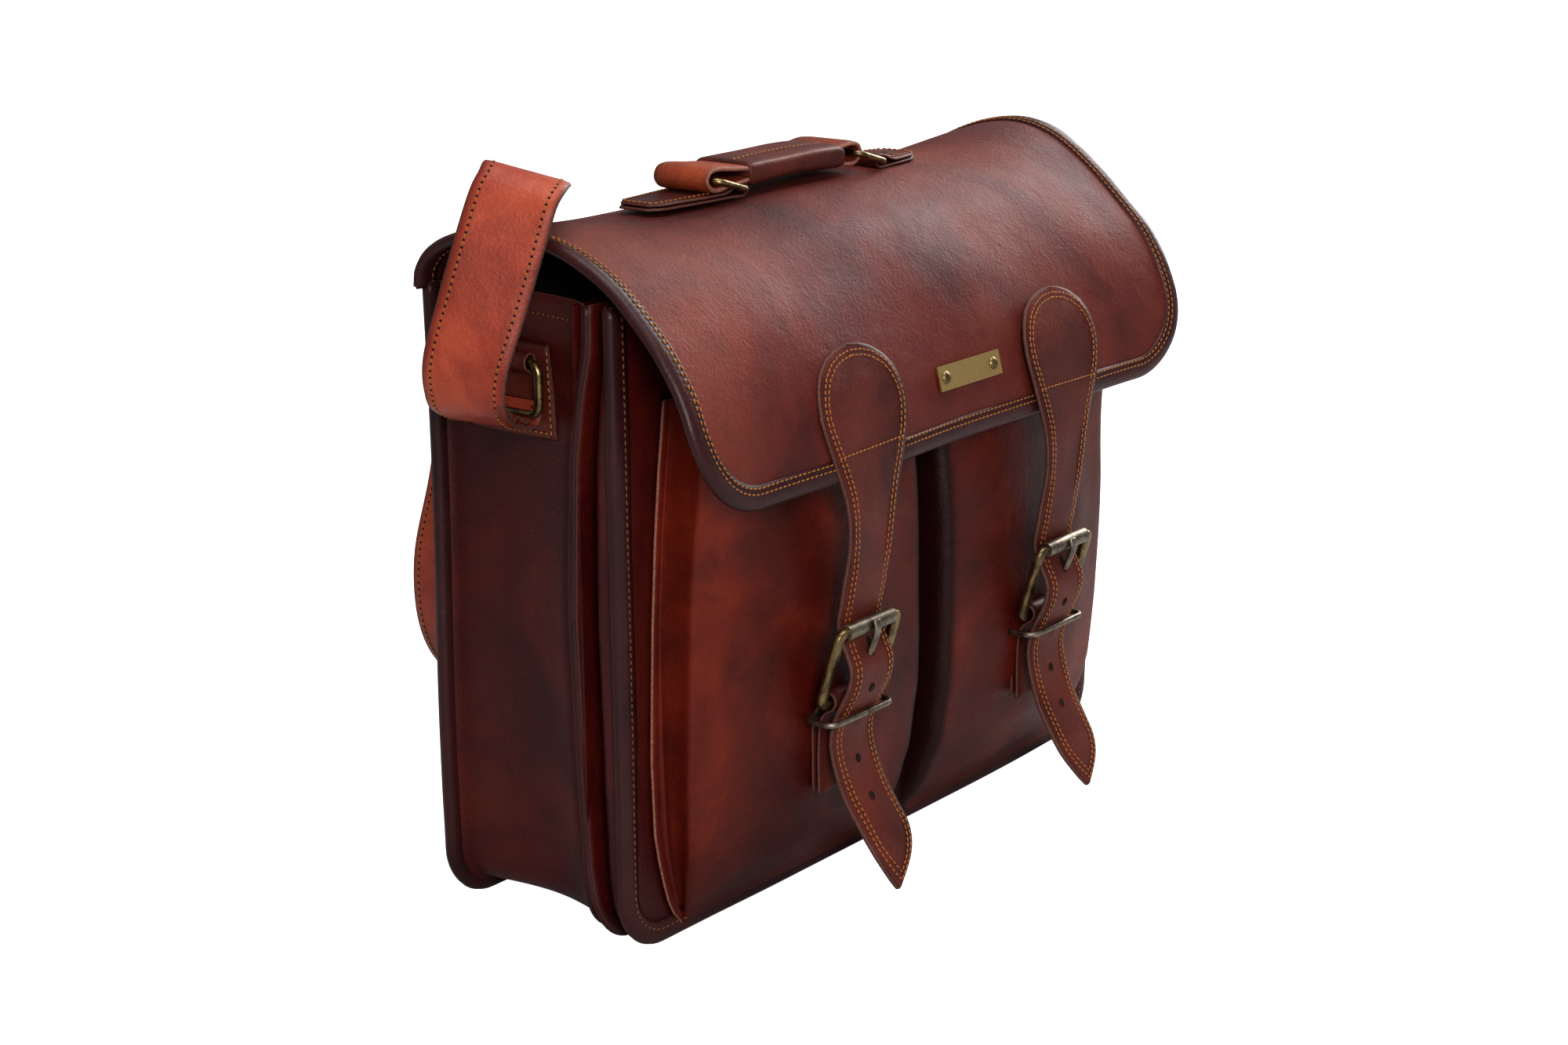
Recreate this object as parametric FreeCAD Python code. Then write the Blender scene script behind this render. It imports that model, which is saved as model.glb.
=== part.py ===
"""Leather satchel bag with two compartments, two front pockets, a buckled flap,
a top handle on rings and a shoulder strap.  Millimetres, +Z up, front towards -Y."""
import FreeCAD, Part
import math
import os

V = FreeCAD.Vector

# ---- driving dimensions (mm) ---------------------------------------------------------
BAG_W = 400.0            # outer width over the bindings
PLANE_Y = 53.0           # bound seam planes sit at y = +/- this
CORNER_R = 28.0          # bottom corner radius of the panels
PANEL_TOP = 303.0        # top edge of panels and gussets
SKIN = 2.4               # panel leather
THIN = 1.6               # gusset leather
GAP = 0.3                # air between separate soft pieces
BIND_DEPTH = 11.0        # how far a binding reaches in from the edge
BIND_SKIN = 1.2          # binding leather
GUSSET_INSET = 11.4      # gusset wall behind the outer edge
DIVIDER_Y = -33.0        # plane of the divider
PLEAT_INSET = 32.0       # depth of the front gusset's inward fold

FLAP_HALF = 205.0        # half width of the flap
FLAP_END_Z = 214.0       # lower edge of the closed flap
FLAP_CORNER = 45.0
FLAP_BIND_T = 5.0
HINGE = (55.55, 303.6)   # y, z of the flap's fold line

POCKET_IN, POCKET_OUT = 9.0, 175.0    # |x| of a pocket's side walls
POCKET_TOP, POCKET_FLOOR = 257.0, 13.0
POCKET_SKIN = 2.2

STRAP_X = 85.0           # |x| of the flap straps and buckles
STRAP_T = 2.6

HEEL = (-100.0, 107.0)   # y, z of a buckle's heel bar
BUCKLE_LEN = 37.6        # heel bar to roller bar
BUCKLE_LEAN = 17.0       # degrees, top outwards
BUCKLE_IN, BUCKLE_OUT = 20.0, 25.0
BAR_R = 2.2
RUN_R = BAR_R + 0.06     # bores that turn on a bar
ROLLER_R = 3.8
KEEPER_R = 1.5
KEEPER_AXIS = (-91.8, 98.5)
KEEPER_FRONT_Y = -108.0

RING_Y = 9.0             # middle of the side rings along y
SIDE_X = 199.0           # |x| of the side rings' plane
SIDE_TOP_Z, SIDE_LOW_Z = 274.0, 250.0
SIDE_R = 2.0
SHOULDER_W, SHOULDER_T = 38.0, 2.6

HANDLE_Y = 3.0
TAB_X = (-52.0, 60.0)    # x of the two handle rings' lower bars
RING_LEAN = (-22.0, 6.5)  # from a ring's lower bar to its upper bar: x, z
TAB_Z = 332.5            # height of the lower bars
HRING_R = 1.6
HRING_HALF = 19.6        # half width of a handle ring to its wire centre
HANDLE_HALF_W = 16.0
TAB_LEN = (62.0, 40.0)     # of the left and the right tab
WRAP_X = (-47.0, 27.0)     # ends of the handle's wrap
TAB_RIVET = 26.0           # from a ring's lower bar to the tab's rivet

MID_Y = 17.0             # moves the finished bag so that its box is centred on y = 0


# ---- small helpers -------------------------------------------------------------------
def box(x0, x1, y0, y1, z0, z1):
    return Part.makeBox(x1 - x0, y1 - y0, z1 - z0, V(x0, y0, z0))


def rod(p, direction, r, length):
    """Cylinder centred on p along direction."""
    d = V(*direction)
    d.normalize()
    return Part.makeCylinder(r, length, V(*p) - d * (length / 2.0), d)


def fuse(shapes):
    out = shapes[0].multiFuse(shapes[1:]) if len(shapes) > 1 else shapes[0]
    return out.removeSplitter()


def polygon(points):
    return Part.makePolygon(points + [points[0]])


def sample(points, count):
    """Smooth curve through 2-D points, sampled evenly."""
    curve = Part.BSplineCurve()
    curve.interpolate([V(a, b, 0) for a, b in points])
    return [(p.x, p.y) for p in curve.discretize(count)]


def offset(points, d):
    """2-D polyline moved sideways by d, to the left of its direction."""
    out = []
    for i in range(len(points)):
        a = points[max(i - 1, 0)]
        b = points[min(i + 1, len(points) - 1)]
        dx, dy = b[0] - a[0], b[1] - a[1]
        n = math.hypot(dx, dy)
        out.append((points[i][0] - dy / n * d, points[i][1] + dx / n * d))
    return out


def strip(points, thick, x0, x1, shift=0.0):
    """Sheet that follows a y-z curve, extruded from x0 to x1."""
    outer = offset(points, shift + thick / 2.0)
    inner = offset(points, shift - thick / 2.0)
    loop = [V(x0, y, z) for y, z in outer + inner[::-1]]
    return Part.Face(polygon(loop)).extrude(V(x1 - x0, 0, 0))


def outline(inset, y, top):
    """Front outline of the bag body, drawn in by inset, as a wire at one y."""
    w, z0 = BAG_W / 2.0 - inset, inset
    r = max(CORNER_R - inset, 5.0)
    k = r * (1 - math.sqrt(0.5))
    left, right = [V(-w, y, top), V(-w, y, z0 + r)], [V(w, y, z0 + r), V(w, y, top)]
    edges = [Part.makeLine(*left),
             Part.Arc(left[1], V(-w + k, y, z0 + k), V(-w + r, y, z0)).toShape(),
             Part.makeLine(V(-w + r, y, z0), V(w - r, y, z0)),
             Part.Arc(V(w - r, y, z0), V(w - k, y, z0 + k), right[0]).toShape(),
             Part.makeLine(*right),
             Part.makeLine(right[1], left[0])]
    return Part.Wire(edges)


def slab(inset, y0, y1, top=PANEL_TOP):
    return Part.Face(outline(inset, y0, top)).extrude(V(0, y1 - y0, 0))


def taper(inset0, y0, inset1, y1, top=PANEL_TOP):
    return Part.makeLoft([outline(inset0, y0, top), outline(inset1, y1, top)], True, True)


def mirror_x(shape):
    return shape.mirror(V(0, 0, 0), V(1, 0, 0))


def save(node, *shapes):
    shape = shapes[0] if len(shapes) == 1 else Part.makeCompound(list(shapes))
    shape = shape.copy()
    shape.translate(V(0, MID_Y, 0))
    shape.exportStep("parts/%s.step" % node)


# ---- body: panels, gussets, bindings --------------------------------------------------
def seam_layers(side):
    """y values of the skin and flange at the back (+1) or front (-1) seam."""
    skin = sorted((side * (PLANE_Y + 0.15), side * (PLANE_Y + 0.15 + SKIN)))
    flange = sorted((side * (PLANE_Y - 0.15), side * (PLANE_Y - 0.15 - THIN)))
    return skin, flange


def panel(side):
    skin, _ = seam_layers(side)
    return slab(1.8, skin[0], skin[1])


def binding(side):
    """Folded leather edging, open towards the middle of the bag."""
    skin, flange = seam_layers(side)
    y0, y1 = min(skin + flange) - GAP, max(skin + flange) + GAP
    roll = slab(0, y0 - BIND_SKIN, y1 + BIND_SKIN, PANEL_TOP - 2)
    roll = roll.cut(slab(BIND_DEPTH, y0 - 9, y1 + 9, PANEL_TOP + 9))
    return roll.cut(slab(1.5, y0, y1, PANEL_TOP + 9))


def shell(inset0, y0, inset1, y1):
    """One tapering stretch of gusset wall, open at the top."""
    outer = taper(inset0, y0, inset1, y1)
    inner = taper(inset0 + THIN, y0, inset1 + THIN, y1, PANEL_TOP + 20)
    return outer.cut(inner)


def flange_ring(edge, inner, y0, y1):
    return slab(edge, y0, y1).cut(slab(inner, y0 - 1, y1 + 1, PANEL_TOP + 20))


def rear_gusset():
    _, back = seam_layers(1)
    mid0 = DIVIDER_Y + 1.2 + GAP
    wall = GUSSET_INSET + THIN
    return fuse([shell(GUSSET_INSET, mid0, GUSSET_INSET, back[1]),
                 flange_ring(1.8, wall, back[0], back[1]),
                 flange_ring(3.0, wall, mid0, mid0 + THIN)])


def front_gusset():
    _, front = seam_layers(-1)
    mid1 = DIVIDER_Y - 1.2 - GAP
    fold = (mid1 + front[0]) / 2.0
    wall = GUSSET_INSET + THIN
    return fuse([shell(GUSSET_INSET, mid1, PLEAT_INSET, fold),
                 shell(PLEAT_INSET, fold, GUSSET_INSET, front[0]),
                 flange_ring(3.0, wall, mid1 - THIN, mid1),
                 flange_ring(1.8, wall, front[0], front[1])])


def lining(inset, y0, y1):
    """Thin fabric bag inside a compartment."""
    cloth = 0.8
    return slab(inset, y0, y1, PANEL_TOP - 8).cut(
        slab(inset + cloth, y0 + cloth, y1 - cloth, PANEL_TOP + 9))


# ---- front pockets ---------------------------------------------------------------------
POCKET_FACE = [(-84.0, POCKET_TOP), (-87.0, 200.0), (-89.0, 130.0), (-88.0, 90.0),
               (-84.0, 55.0), (-75.0, 30.0), (-60.0, POCKET_FLOOR)]


def pocket():
    """Left pocket: face, side walls and the flange sewn to the front panel."""
    back = -PLANE_Y - 0.15 - SKIN - GAP
    face = sample(POCKET_FACE, 40)
    inner = [p for p in offset(face, POCKET_SKIN) if p[1] > POCKET_FLOOR + POCKET_SKIN]

    def solid(curve, x0, x1, top, floor):
        loop = [(back, top)] + [(curve[0][0], top)] + curve[1:] + [(back, floor)]
        return Part.Face(polygon([V(x0, y, z) for y, z in loop])).extrude(V(x1 - x0, 0, 0))

    body = solid(face, -POCKET_OUT, -POCKET_IN, POCKET_TOP, POCKET_FLOOR)
    hollow = solid(inner, -POCKET_OUT + POCKET_SKIN, -POCKET_IN - POCKET_SKIN,
                   POCKET_TOP + 20, POCKET_FLOOR + POCKET_SKIN)
    flange = box(-POCKET_OUT - 5, -POCKET_IN + 5, back - THIN, back, 11.6, POCKET_TOP)
    opening = box(-POCKET_OUT + 2, -POCKET_IN - 2, back - 9, back + 9, 15.5, 400)
    return fuse([body.cut(hollow), flange.cut(opening)])


# ---- flap --------------------------------------------------------------------------------
FLAP_LINE = [(54.35, 304.0), (53.0, 309.5), (46.0, 316.5), (31.0, 322.6), (12.0, 326.3),
             (-10.0, 326.3), (-35.0, 322.0), (-60.0, 311.5), (-80.0, 293.5), (-92.0, 275.0),
             (-100.0, 255.0), (-105.0, 235.0), (-106.5, FLAP_END_Z)]


def flap_line():
    return sample(FLAP_LINE, 64)


def flap_outline(inset):
    """Block that cuts the rounded front corners, seen from the front."""
    w, z0, r = FLAP_HALF - inset, FLAP_END_Z + inset, FLAP_CORNER - inset
    block = box(-w, w, -200, 200, z0, 420)
    edges = [e for e in block.Edges
             if abs(e.BoundBox.ZMax - z0) < 0.01 and e.BoundBox.YLength > 300]
    return block.makeFillet(r, edges)


def flap():
    return strip(flap_line(), SKIN, -FLAP_HALF, FLAP_HALF).common(flap_outline(1.5))


def flap_binding():
    line = flap_line()
    roll = strip(line, FLAP_BIND_T, -FLAP_HALF, FLAP_HALF).common(flap_outline(0))
    roll = roll.cut(flap_outline(BIND_DEPTH))
    slot = strip(line, SKIN + 2 * GAP, -FLAP_HALF - 5, FLAP_HALF + 5)
    roll = roll.cut(slot.common(flap_outline(1.2)))
    return roll.cut(box(-300, 300, 40, 100, 290, 306))


# ---- flap straps ---------------------------------------------------------------------------
STRAP_LINE = [(-97.0, 273.0), (-104.4, 255.0), (-109.3, 235.0), (-111.2, 214.0),
              (-111.5, 195.0), (-110.0, 175.0), (-107.5, 158.0), (-105.2, 144.0),
              (-108.5, 134.0), (-112.8, 124.0), (-111.5, 114.0), (-107.3, 105.0),
              (-103.2, 96.0), (-101.2, 85.0), (-103.0, 72.0), (-107.5, 58.0),
              (-116.0, 42.0), (-124.0, 28.0), (-128.0, 16.0)]


def strap_front():
    """Front outline of a flap strap: round head, waist, straight tail, pointed tip."""
    half = [(0, 273.5), (14, 270), (26, 261), (32, 247), (30, 232), (24, 217), (19, 205),
            (17, 195), (16.5, 180), (16.5, 36), (13, 26), (7, 18), (0, 15)]
    loop = [V(x, -200, z) for x, z in half] + [V(-x, -200, z) for x, z in half[-2:0:-1]]
    return Part.Face(polygon(loop)).extrude(V(0, 150, 0))


def flap_strap(x):
    front = strap_front()
    front.translate(V(x, 0, 0))
    body = strip(sample(STRAP_LINE, 90), STRAP_T, x - 40, x + 40).common(front)
    slot = box(x - 3.2, x + 3.2, -125, -100, 121, 139)
    holes = [rod((x, -110, z), (0, 1, 0), 1.8, 40) for z in (86, 67, 47)]
    for hole in [slot] + holes:
        body = body.cut(hole)
    return body


# ---- buckles -------------------------------------------------------------------------------
def at_buckle(shape, x):
    """Moves a shape drawn on an upright heel bar at the origin into place."""
    shape = shape.copy()
    shape.rotate(V(0, 0, 0), V(1, 0, 0), BUCKLE_LEAN)
    shape.translate(V(x, HEEL[0], HEEL[1]))
    return shape


def buckle_frame(x):
    sides = []
    for s in (-1, 1):
        x0, x1 = sorted((s * BUCKLE_IN, s * BUCKLE_OUT))
        bar = box(x0, x1, -2.2, 2.2, -2.6, BUCKLE_LEN + 2.8)
        sides.append(bar.makeFillet(1.2, bar.Edges))
    bars = [rod((0, 0, z), (1, 0, 0), BAR_R, 2 * BUCKLE_IN + 4) for z in (0, BUCKLE_LEN)]
    return at_buckle(fuse(sides + bars), x)


def buckle_roller(x):
    tube = rod((0, 0, BUCKLE_LEN), (1, 0, 0), ROLLER_R, 2 * BUCKLE_IN - 4)
    return at_buckle(tube.cut(rod((0, 0, BUCKLE_LEN), (1, 0, 0), RUN_R, 80)), x)


def buckle_prong(x):
    """Tongue that wraps the heel bar and lies on the roller."""
    eye = rod((0, 0, 0), (1, 0, 0), 3.9, 4.0)
    line = [(-3.0, 0.5), (-4.0, 12.0), (-4.6, 25.0), (-5.3, 36.0), (-5.0, 42.0)]
    arm = strip(sample(line, 16), 2.2, -2.0, 2.0)
    return at_buckle(fuse([eye, arm]).cut(rod((0, 0, 0), (1, 0, 0), RUN_R, 20)), x)


def keeper(x):
    """Closed wire loop that holds the strap's tail."""
    half = BUCKLE_OUT - 1.0
    y0, y1, z = KEEPER_FRONT_Y, KEEPER_AXIS[0], KEEPER_AXIS[1]
    bend = 5.0
    k = bend * (1 - math.sqrt(0.5))

    def corner(px, py, sx, sy):
        a = V(px + sx * bend, py, z)
        b = V(px, py + sy * bend, z)
        return a, V(px + sx * k, py + sy * k, z), b

    fl, fr = corner(x - half, y0, 1, 1), corner(x + half, y0, -1, 1)
    bl, br = corner(x - half, y1, 1, -1), corner(x + half, y1, -1, -1)
    edges = [Part.makeLine(V(x, y1, z), bl[0]), Part.Arc(*bl).toShape(),
             Part.makeLine(bl[2], fl[2]), Part.Arc(fl[2], fl[1], fl[0]).toShape(),
             Part.makeLine(fl[0], fr[0]), Part.Arc(*fr).toShape(),
             Part.makeLine(fr[2], br[2]), Part.Arc(br[2], br[1], br[0]).toShape(),
             Part.makeLine(br[0], V(x, y1, z))]
    ring = Part.Wire(Part.makeCircle(KEEPER_R, V(x, y1, z), V(1, 0, 0)))
    return Part.Wire(edges).makePipeShell([ring], True, True)


def chape(x):
    """Leather tab folded round the heel bar, with eyes for bar and keeper."""
    y0, y1 = KEEPER_AXIS[0] - 2.3, KEEPER_AXIS[0] + 2.3
    plate = box(x - 16, x + 16, y0, y1, 61, 103)
    web = Part.Face(polygon([V(x - 16, y, z) for y, z in
                             [(y1, 94), (y1, 103), (-99, 111), (-102.5, 103.5),
                              (y0, 96)]])).extrude(V(32, 0, 0))
    eye = rod((x, HEEL[0], HEEL[1]), (1, 0, 0), 4.3, 32)
    tab = fuse([plate, web, eye])
    for cut in (rod((x, HEEL[0], HEEL[1]), (1, 0, 0), RUN_R, 60),
                rod((x, KEEPER_AXIS[0], KEEPER_AXIS[1]), (1, 0, 0), KEEPER_R + 0.06, 60),
                box(x - 2.6, x + 2.6, -110, -95.2, 101, 113)):
        tab = tab.cut(cut)
    return tab


def rivet(p, direction, head_r, head_h, shank_r, depth):
    """Domed rivet: head outside at p, shank running back along -direction."""
    d = V(*direction)
    base = V(*p)
    ball_r = (head_r ** 2 + head_h ** 2) / (2 * head_h)
    ball = Part.makeSphere(ball_r, base - d * (ball_r - head_h))
    head = ball.common(Part.makeCylinder(head_r + 1, head_h + 1, base, d))
    return head.fuse(Part.makeCylinder(shank_r, depth, base - d * depth, d))


# ---- side rings and shoulder strap --------------------------------------------------------
def rect_ring(half, drop, r, bend):
    """Wire rectangle: upper bar along y at the origin, lower bar at z = -drop."""
    k = bend * (1 - math.sqrt(0.5))
    c = [(-half, 0, 1, -1), (-half, -drop, 1, 1), (half, -drop, -1, 1), (half, 0, -1, -1)]
    pts = [(V(0, y + sy * bend, z), V(0, y + sy * k, z + sz * k), V(0, y, z + sz * bend))
           for y, z, sy, sz in c]
    edges = [Part.makeLine(V(0, 0, 0), pts[0][0]), Part.Arc(*pts[0]).toShape(),
             Part.makeLine(pts[0][2], pts[1][2]),
             Part.Arc(pts[1][2], pts[1][1], pts[1][0]).toShape(),
             Part.makeLine(pts[1][0], pts[2][0]), Part.Arc(*pts[2]).toShape(),
             Part.makeLine(pts[2][2], pts[3][2]),
             Part.Arc(pts[3][2], pts[3][1], pts[3][0]).toShape(),
             Part.makeLine(pts[3][0], V(0, 0, 0))]
    circle = Part.Wire(Part.makeCircle(r, V(0, 0, 0), V(0, 1, 0)))
    return Part.Wire(edges).makePipeShell([circle], True, True)


def side_ring():
    ring = rect_ring(22.5, SIDE_TOP_Z - SIDE_LOW_Z, SIDE_R, 6.0)
    ring.translate(V(-SIDE_X, RING_Y, SIDE_TOP_Z))
    return ring


def ring_patch():
    """Tapered leather patch on the side wall with the loop that holds the ring."""
    x_in = -(BAG_W / 2.0 - GUSSET_INSET) - GAP
    loop = [(-27, 238), (27, 238), (22, 281), (-22, 281)]
    plate = Part.Face(polygon([V(x_in, RING_Y + y, z) for y, z in loop]))
    plate = plate.extrude(V(-2.2, 0, 0))
    eye = rod((-SIDE_X, RING_Y, SIDE_TOP_Z), (0, 1, 0), 4.2, 32)
    web = box(-SIDE_X, x_in - 1, RING_Y - 16, RING_Y + 16, SIDE_TOP_Z - 3, SIDE_TOP_Z + 3)
    patch = fuse([plate, eye, web])
    return patch.cut(rod((-SIDE_X, RING_Y, SIDE_TOP_Z), (0, 1, 0), SIDE_R + 0.06, 80))


# centre line of the shoulder strap: x, y, z and the direction of its width
SHOULDER_LINE = [
    (-194.6, 9, 262, 0, 1, 0), (-194.6, 9, 251, 0, 1, 0), (-196.0, 9, 246.0, 0, 1, 0),
    (-200.5, 9, 244.6, 0, 1, 0), (-208, 8.5, 246.5, 0, 1, 0), (-221, 6, 251, 0, 1, 0),
    (-234, 2, 260, 0, 1, 0), (-241, -2, 278, 0, 1, 0), (-240, -6, 305, 0, 1, 0),
    (-232, -11, 333, 0, 1, 0.05), (-221, -14, 352, -0.05, 1, 0.1), (-208, -16, 361.5, -0.1, 1, 0.12),
    (-195, -12, 361.5, -0.3, 0.95, 0.1), (-181, 5, 355, -0.6, 0.8, 0), (-167, 25, 346, -0.8, 0.6, 0),
    (-150, 45, 334, -0.9, 0.4, 0), (-135, 66, 314, -0.9, 0.4, 0),
    (-130, 76, 280, -0.6, 0.8, 0), (-136, 77, 240, -0.3, 0.95, 0), (-149, 77, 200, 0, 1, 0),
    (-161, 77, 160, 0, 1, 0), (-160, 77, 124, 0, 1, 0), (-147, 77, 98, 0, 1, 0),
    (-118, 77, 80, 0, 1, 0), (-60, 77, 69, 0, 1, 0), (0, 77, 66, 0, 1, 0),
    (60, 77, 69, 0, 1, 0), (118, 77, 80, 0, 1, 0), (148, 77, 98, 0, 1, 0),
    (163, 77, 125, 0, 1, 0), (170, 77, 160, 0, 1, 0), (176, 78, 200, 0, 1, 0.1),
    (186, 79, 240, 0, 0.95, 0.3), (199, 78, 270, 0, 0.8, 0.6), (213, 68, 288, 0, 0.5, 0.9),
    (223, 50, 295, 0, 0.3, 0.95), (229, 31, 291, 0, 0.6, 0.8), (233, 18, 276, 0, 0.9, 0.3),
    (229, 12, 260, 0, 1, 0), (219, 9.5, 251, 0, 1, 0), (208, 9, 246.5, 0, 1, 0),
    (200.5, 9, 244.6, 0, 1, 0), (196.0, 9, 246.0, 0, 1, 0), (194.6, 9, 251, 0, 1, 0),
    (194.6, 9, 262, 0, 1, 0)]


def shoulder_strap():
    sections = []
    last = len(SHOULDER_LINE) - 1
    for i, row in enumerate(SHOULDER_LINE):
        p, w = V(*row[:3]), V(*row[3:])
        a, b = V(*SHOULDER_LINE[max(i - 1, 0)][:3]), V(*SHOULDER_LINE[min(i + 1, last)][:3])
        d = b - a
        d.normalize()
        w = w - d * w.dot(d)
        w.normalize()
        n = d.cross(w)
        hw, ht = w * (SHOULDER_W / 2.0), n * (SHOULDER_T / 2.0)
        sections.append(polygon([p - hw - ht, p + hw - ht, p + hw + ht, p - hw + ht]))
    return Part.makeLoft(sections, True, True)


# ---- handle --------------------------------------------------------------------------------
def handle_ring(tab_x):
    """Ring leaning over to the left, held by its lower bar."""
    dx, dz = RING_LEAN
    ring = rect_ring(HRING_HALF, math.hypot(dx, dz), HRING_R, 4.0)
    ring.rotate(V(0, 0, 0), V(0, 1, 0), 180.0 + math.degrees(math.atan2(dx, dz)))
    ring.translate(V(tab_x, HANDLE_Y, TAB_Z))
    return ring


def handle_tab(tab_x, side, length):
    """Leather tab riveted to the flap, folded round a ring's lower bar."""
    x0, x1 = sorted((tab_x, tab_x + side * length))
    y0, y1 = HANDLE_Y - HANDLE_HALF_W, HANDLE_Y + HANDLE_HALF_W
    plate = box(x0, x1, y0, y1, TAB_Z - 3.8, TAB_Z - 1.4)
    eye = rod((tab_x, HANDLE_Y, TAB_Z), (0, 1, 0), 3.6, y1 - y0)
    tab = fuse([plate, eye])
    tab = tab.cut(rod((tab_x, HANDLE_Y, TAB_Z), (0, 1, 0), HRING_R + 0.06, 80))
    return tab.cut(rod((tab_x + side * TAB_RIVET, HANDLE_Y, TAB_Z), (0, 0, 1), 1.8, 20))


def handle_strap():
    ends = [(t + RING_LEAN[0], TAB_Z + RING_LEAN[1]) for t in TAB_X]
    y0, y1 = HANDLE_Y - HANDLE_HALF_W, HANDLE_Y + HANDLE_HALF_W
    z = ends[0][1]
    parts = [box(ends[0][0], ends[1][0], y0, y1, z - 2, z + 2)]
    parts += [rod((x, HANDLE_Y, z), (0, 1, 0), 4.4, y1 - y0) for x, z in ends]
    body = fuse(parts)
    for x, z in ends:
        body = body.cut(rod((x, HANDLE_Y, z), (0, 1, 0), HRING_R + 0.06, 80))
    return body


def handle_wrap():
    z = TAB_Z + RING_LEAN[1]
    hw = HANDLE_HALF_W
    outer = box(WRAP_X[0], WRAP_X[1], HANDLE_Y - hw - 1.6, HANDLE_Y + hw + 1.6, z - 4, z + 4)
    edges = [e for e in outer.Edges if e.BoundBox.XLength > 50]
    inner = box(-90, 90, HANDLE_Y - hw - GAP, HANDLE_Y + hw + GAP, z - 2.3, z + 2.3)
    return outer.makeFillet(1.2, edges).cut(inner)


# ---- name plate ---------------------------------------------------------------------------
PLATE_X, PLATE_TILT = 6.0, 14.5
PLATE_POINT = (-104.6, 246.0)       # y, z


def on_plate(shape):
    shape = shape.copy()
    shape.rotate(V(0, 0, 0), V(1, 0, 0), -PLATE_TILT)
    shape.translate(V(PLATE_X, PLATE_POINT[0], PLATE_POINT[1]))
    return shape


def name_plate():
    plate = box(-26, 26, -0.5, 0.5, -6, 6)
    for s in (-1, 1):
        plate = plate.cut(rod((s * 20, 0, 0), (0, 1, 0), 1.5, 10))
    return on_plate(plate)


def plate_rivets():
    return [on_plate(rivet((s * 20, -0.6, 0), (0, -1, 0), 3.2, 1.6, 1.2, 3.4)) for s in (-1, 1)]


# ---- build every node ---------------------------------------------------------------------
def main():
    os.makedirs("parts", exist_ok=True)
    flap_leather, left_pocket, left_chape = flap(), pocket(), chape(-STRAP_X)

    tab_rivets = [rivet((t + s * TAB_RIVET, HANDLE_Y, TAB_Z - 1.3), (0, 0, 1), 4.2, 1.8, 1.5, 7.5)
                  for t, s in zip(TAB_X, (-1, 1))]
    for t, s in zip(TAB_X, (-1, 1)):
        flap_leather = flap_leather.cut(rod((t + s * TAB_RIVET, HANDLE_Y, TAB_Z - 6), (0, 0, 1), 1.8, 20))
    for r in (-20, 20):
        flap_leather = flap_leather.cut(on_plate(rod((r, 0, 0), (0, 1, 0), 1.5, 12)))

    stud = rod((-STRAP_X, -90, 74), (0, 1, 0), 1.8, 30)
    left_pocket, left_chape = left_pocket.cut(stud), left_chape.cut(stud)
    stud_left = rivet((-STRAP_X, KEEPER_AXIS[0] - 2.4, 74), (0, -1, 0), 4.0, 1.6, 1.5, 10.5)

    save("back_panel", panel(1))
    save("front_panel", panel(-1))
    save("back_binding", binding(1))
    save("front_binding", binding(-1))
    save("rear_gusset", rear_gusset())
    save("front_gusset", front_gusset())
    save("divider_panel", slab(3.0, DIVIDER_Y - 1.2, DIVIDER_Y + 1.2, PANEL_TOP - 1))
    save("lining_rear", lining(GUSSET_INSET + THIN + GAP, DIVIDER_Y + 3.4, PLANE_Y - 2.2))
    save("lining_front", lining(PLEAT_INSET + THIN + GAP, -PLANE_Y + 2.2, DIVIDER_Y - 3.4))
    save("pocket_left", left_pocket)
    save("pocket_right", mirror_x(left_pocket))
    save("chape_left", left_chape)
    save("chape_right", mirror_x(left_chape))
    save("chape_studs", stud_left, mirror_x(stud_left))
    patch, ring = ring_patch(), side_ring()
    save("ring_patch_left", patch)
    save("ring_patch_right", mirror_x(patch))
    save("side_ring_left", ring)
    save("side_ring_right", mirror_x(ring))
    save("shoulder_strap", shoulder_strap())

    save("flap", flap_leather)
    save("flap_binding", flap_binding())
    save("flap_strap_left", flap_strap(-STRAP_X))
    save("flap_strap_right", flap_strap(STRAP_X))
    save("name_plate", name_plate())
    save("plate_rivets", *plate_rivets())
    save("handle_tab_left", handle_tab(TAB_X[0], -1, TAB_LEN[0]))
    save("handle_tab_right", handle_tab(TAB_X[1], 1, TAB_LEN[1]))
    save("tab_rivets", *tab_rivets)
    save("handle_ring_left", handle_ring(TAB_X[0]))
    save("handle_ring_right", handle_ring(TAB_X[1]))
    save("handle_strap", handle_strap())
    save("handle_wrap", handle_wrap())

    for side, x in (("left", -STRAP_X), ("right", STRAP_X)):
        save("buckle_frame_" + side, buckle_frame(x))
        save("buckle_roller_" + side, buckle_roller(x))
        save("buckle_prong_" + side, buckle_prong(x))
        save("strap_keeper_" + side, keeper(x))


main()
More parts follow.
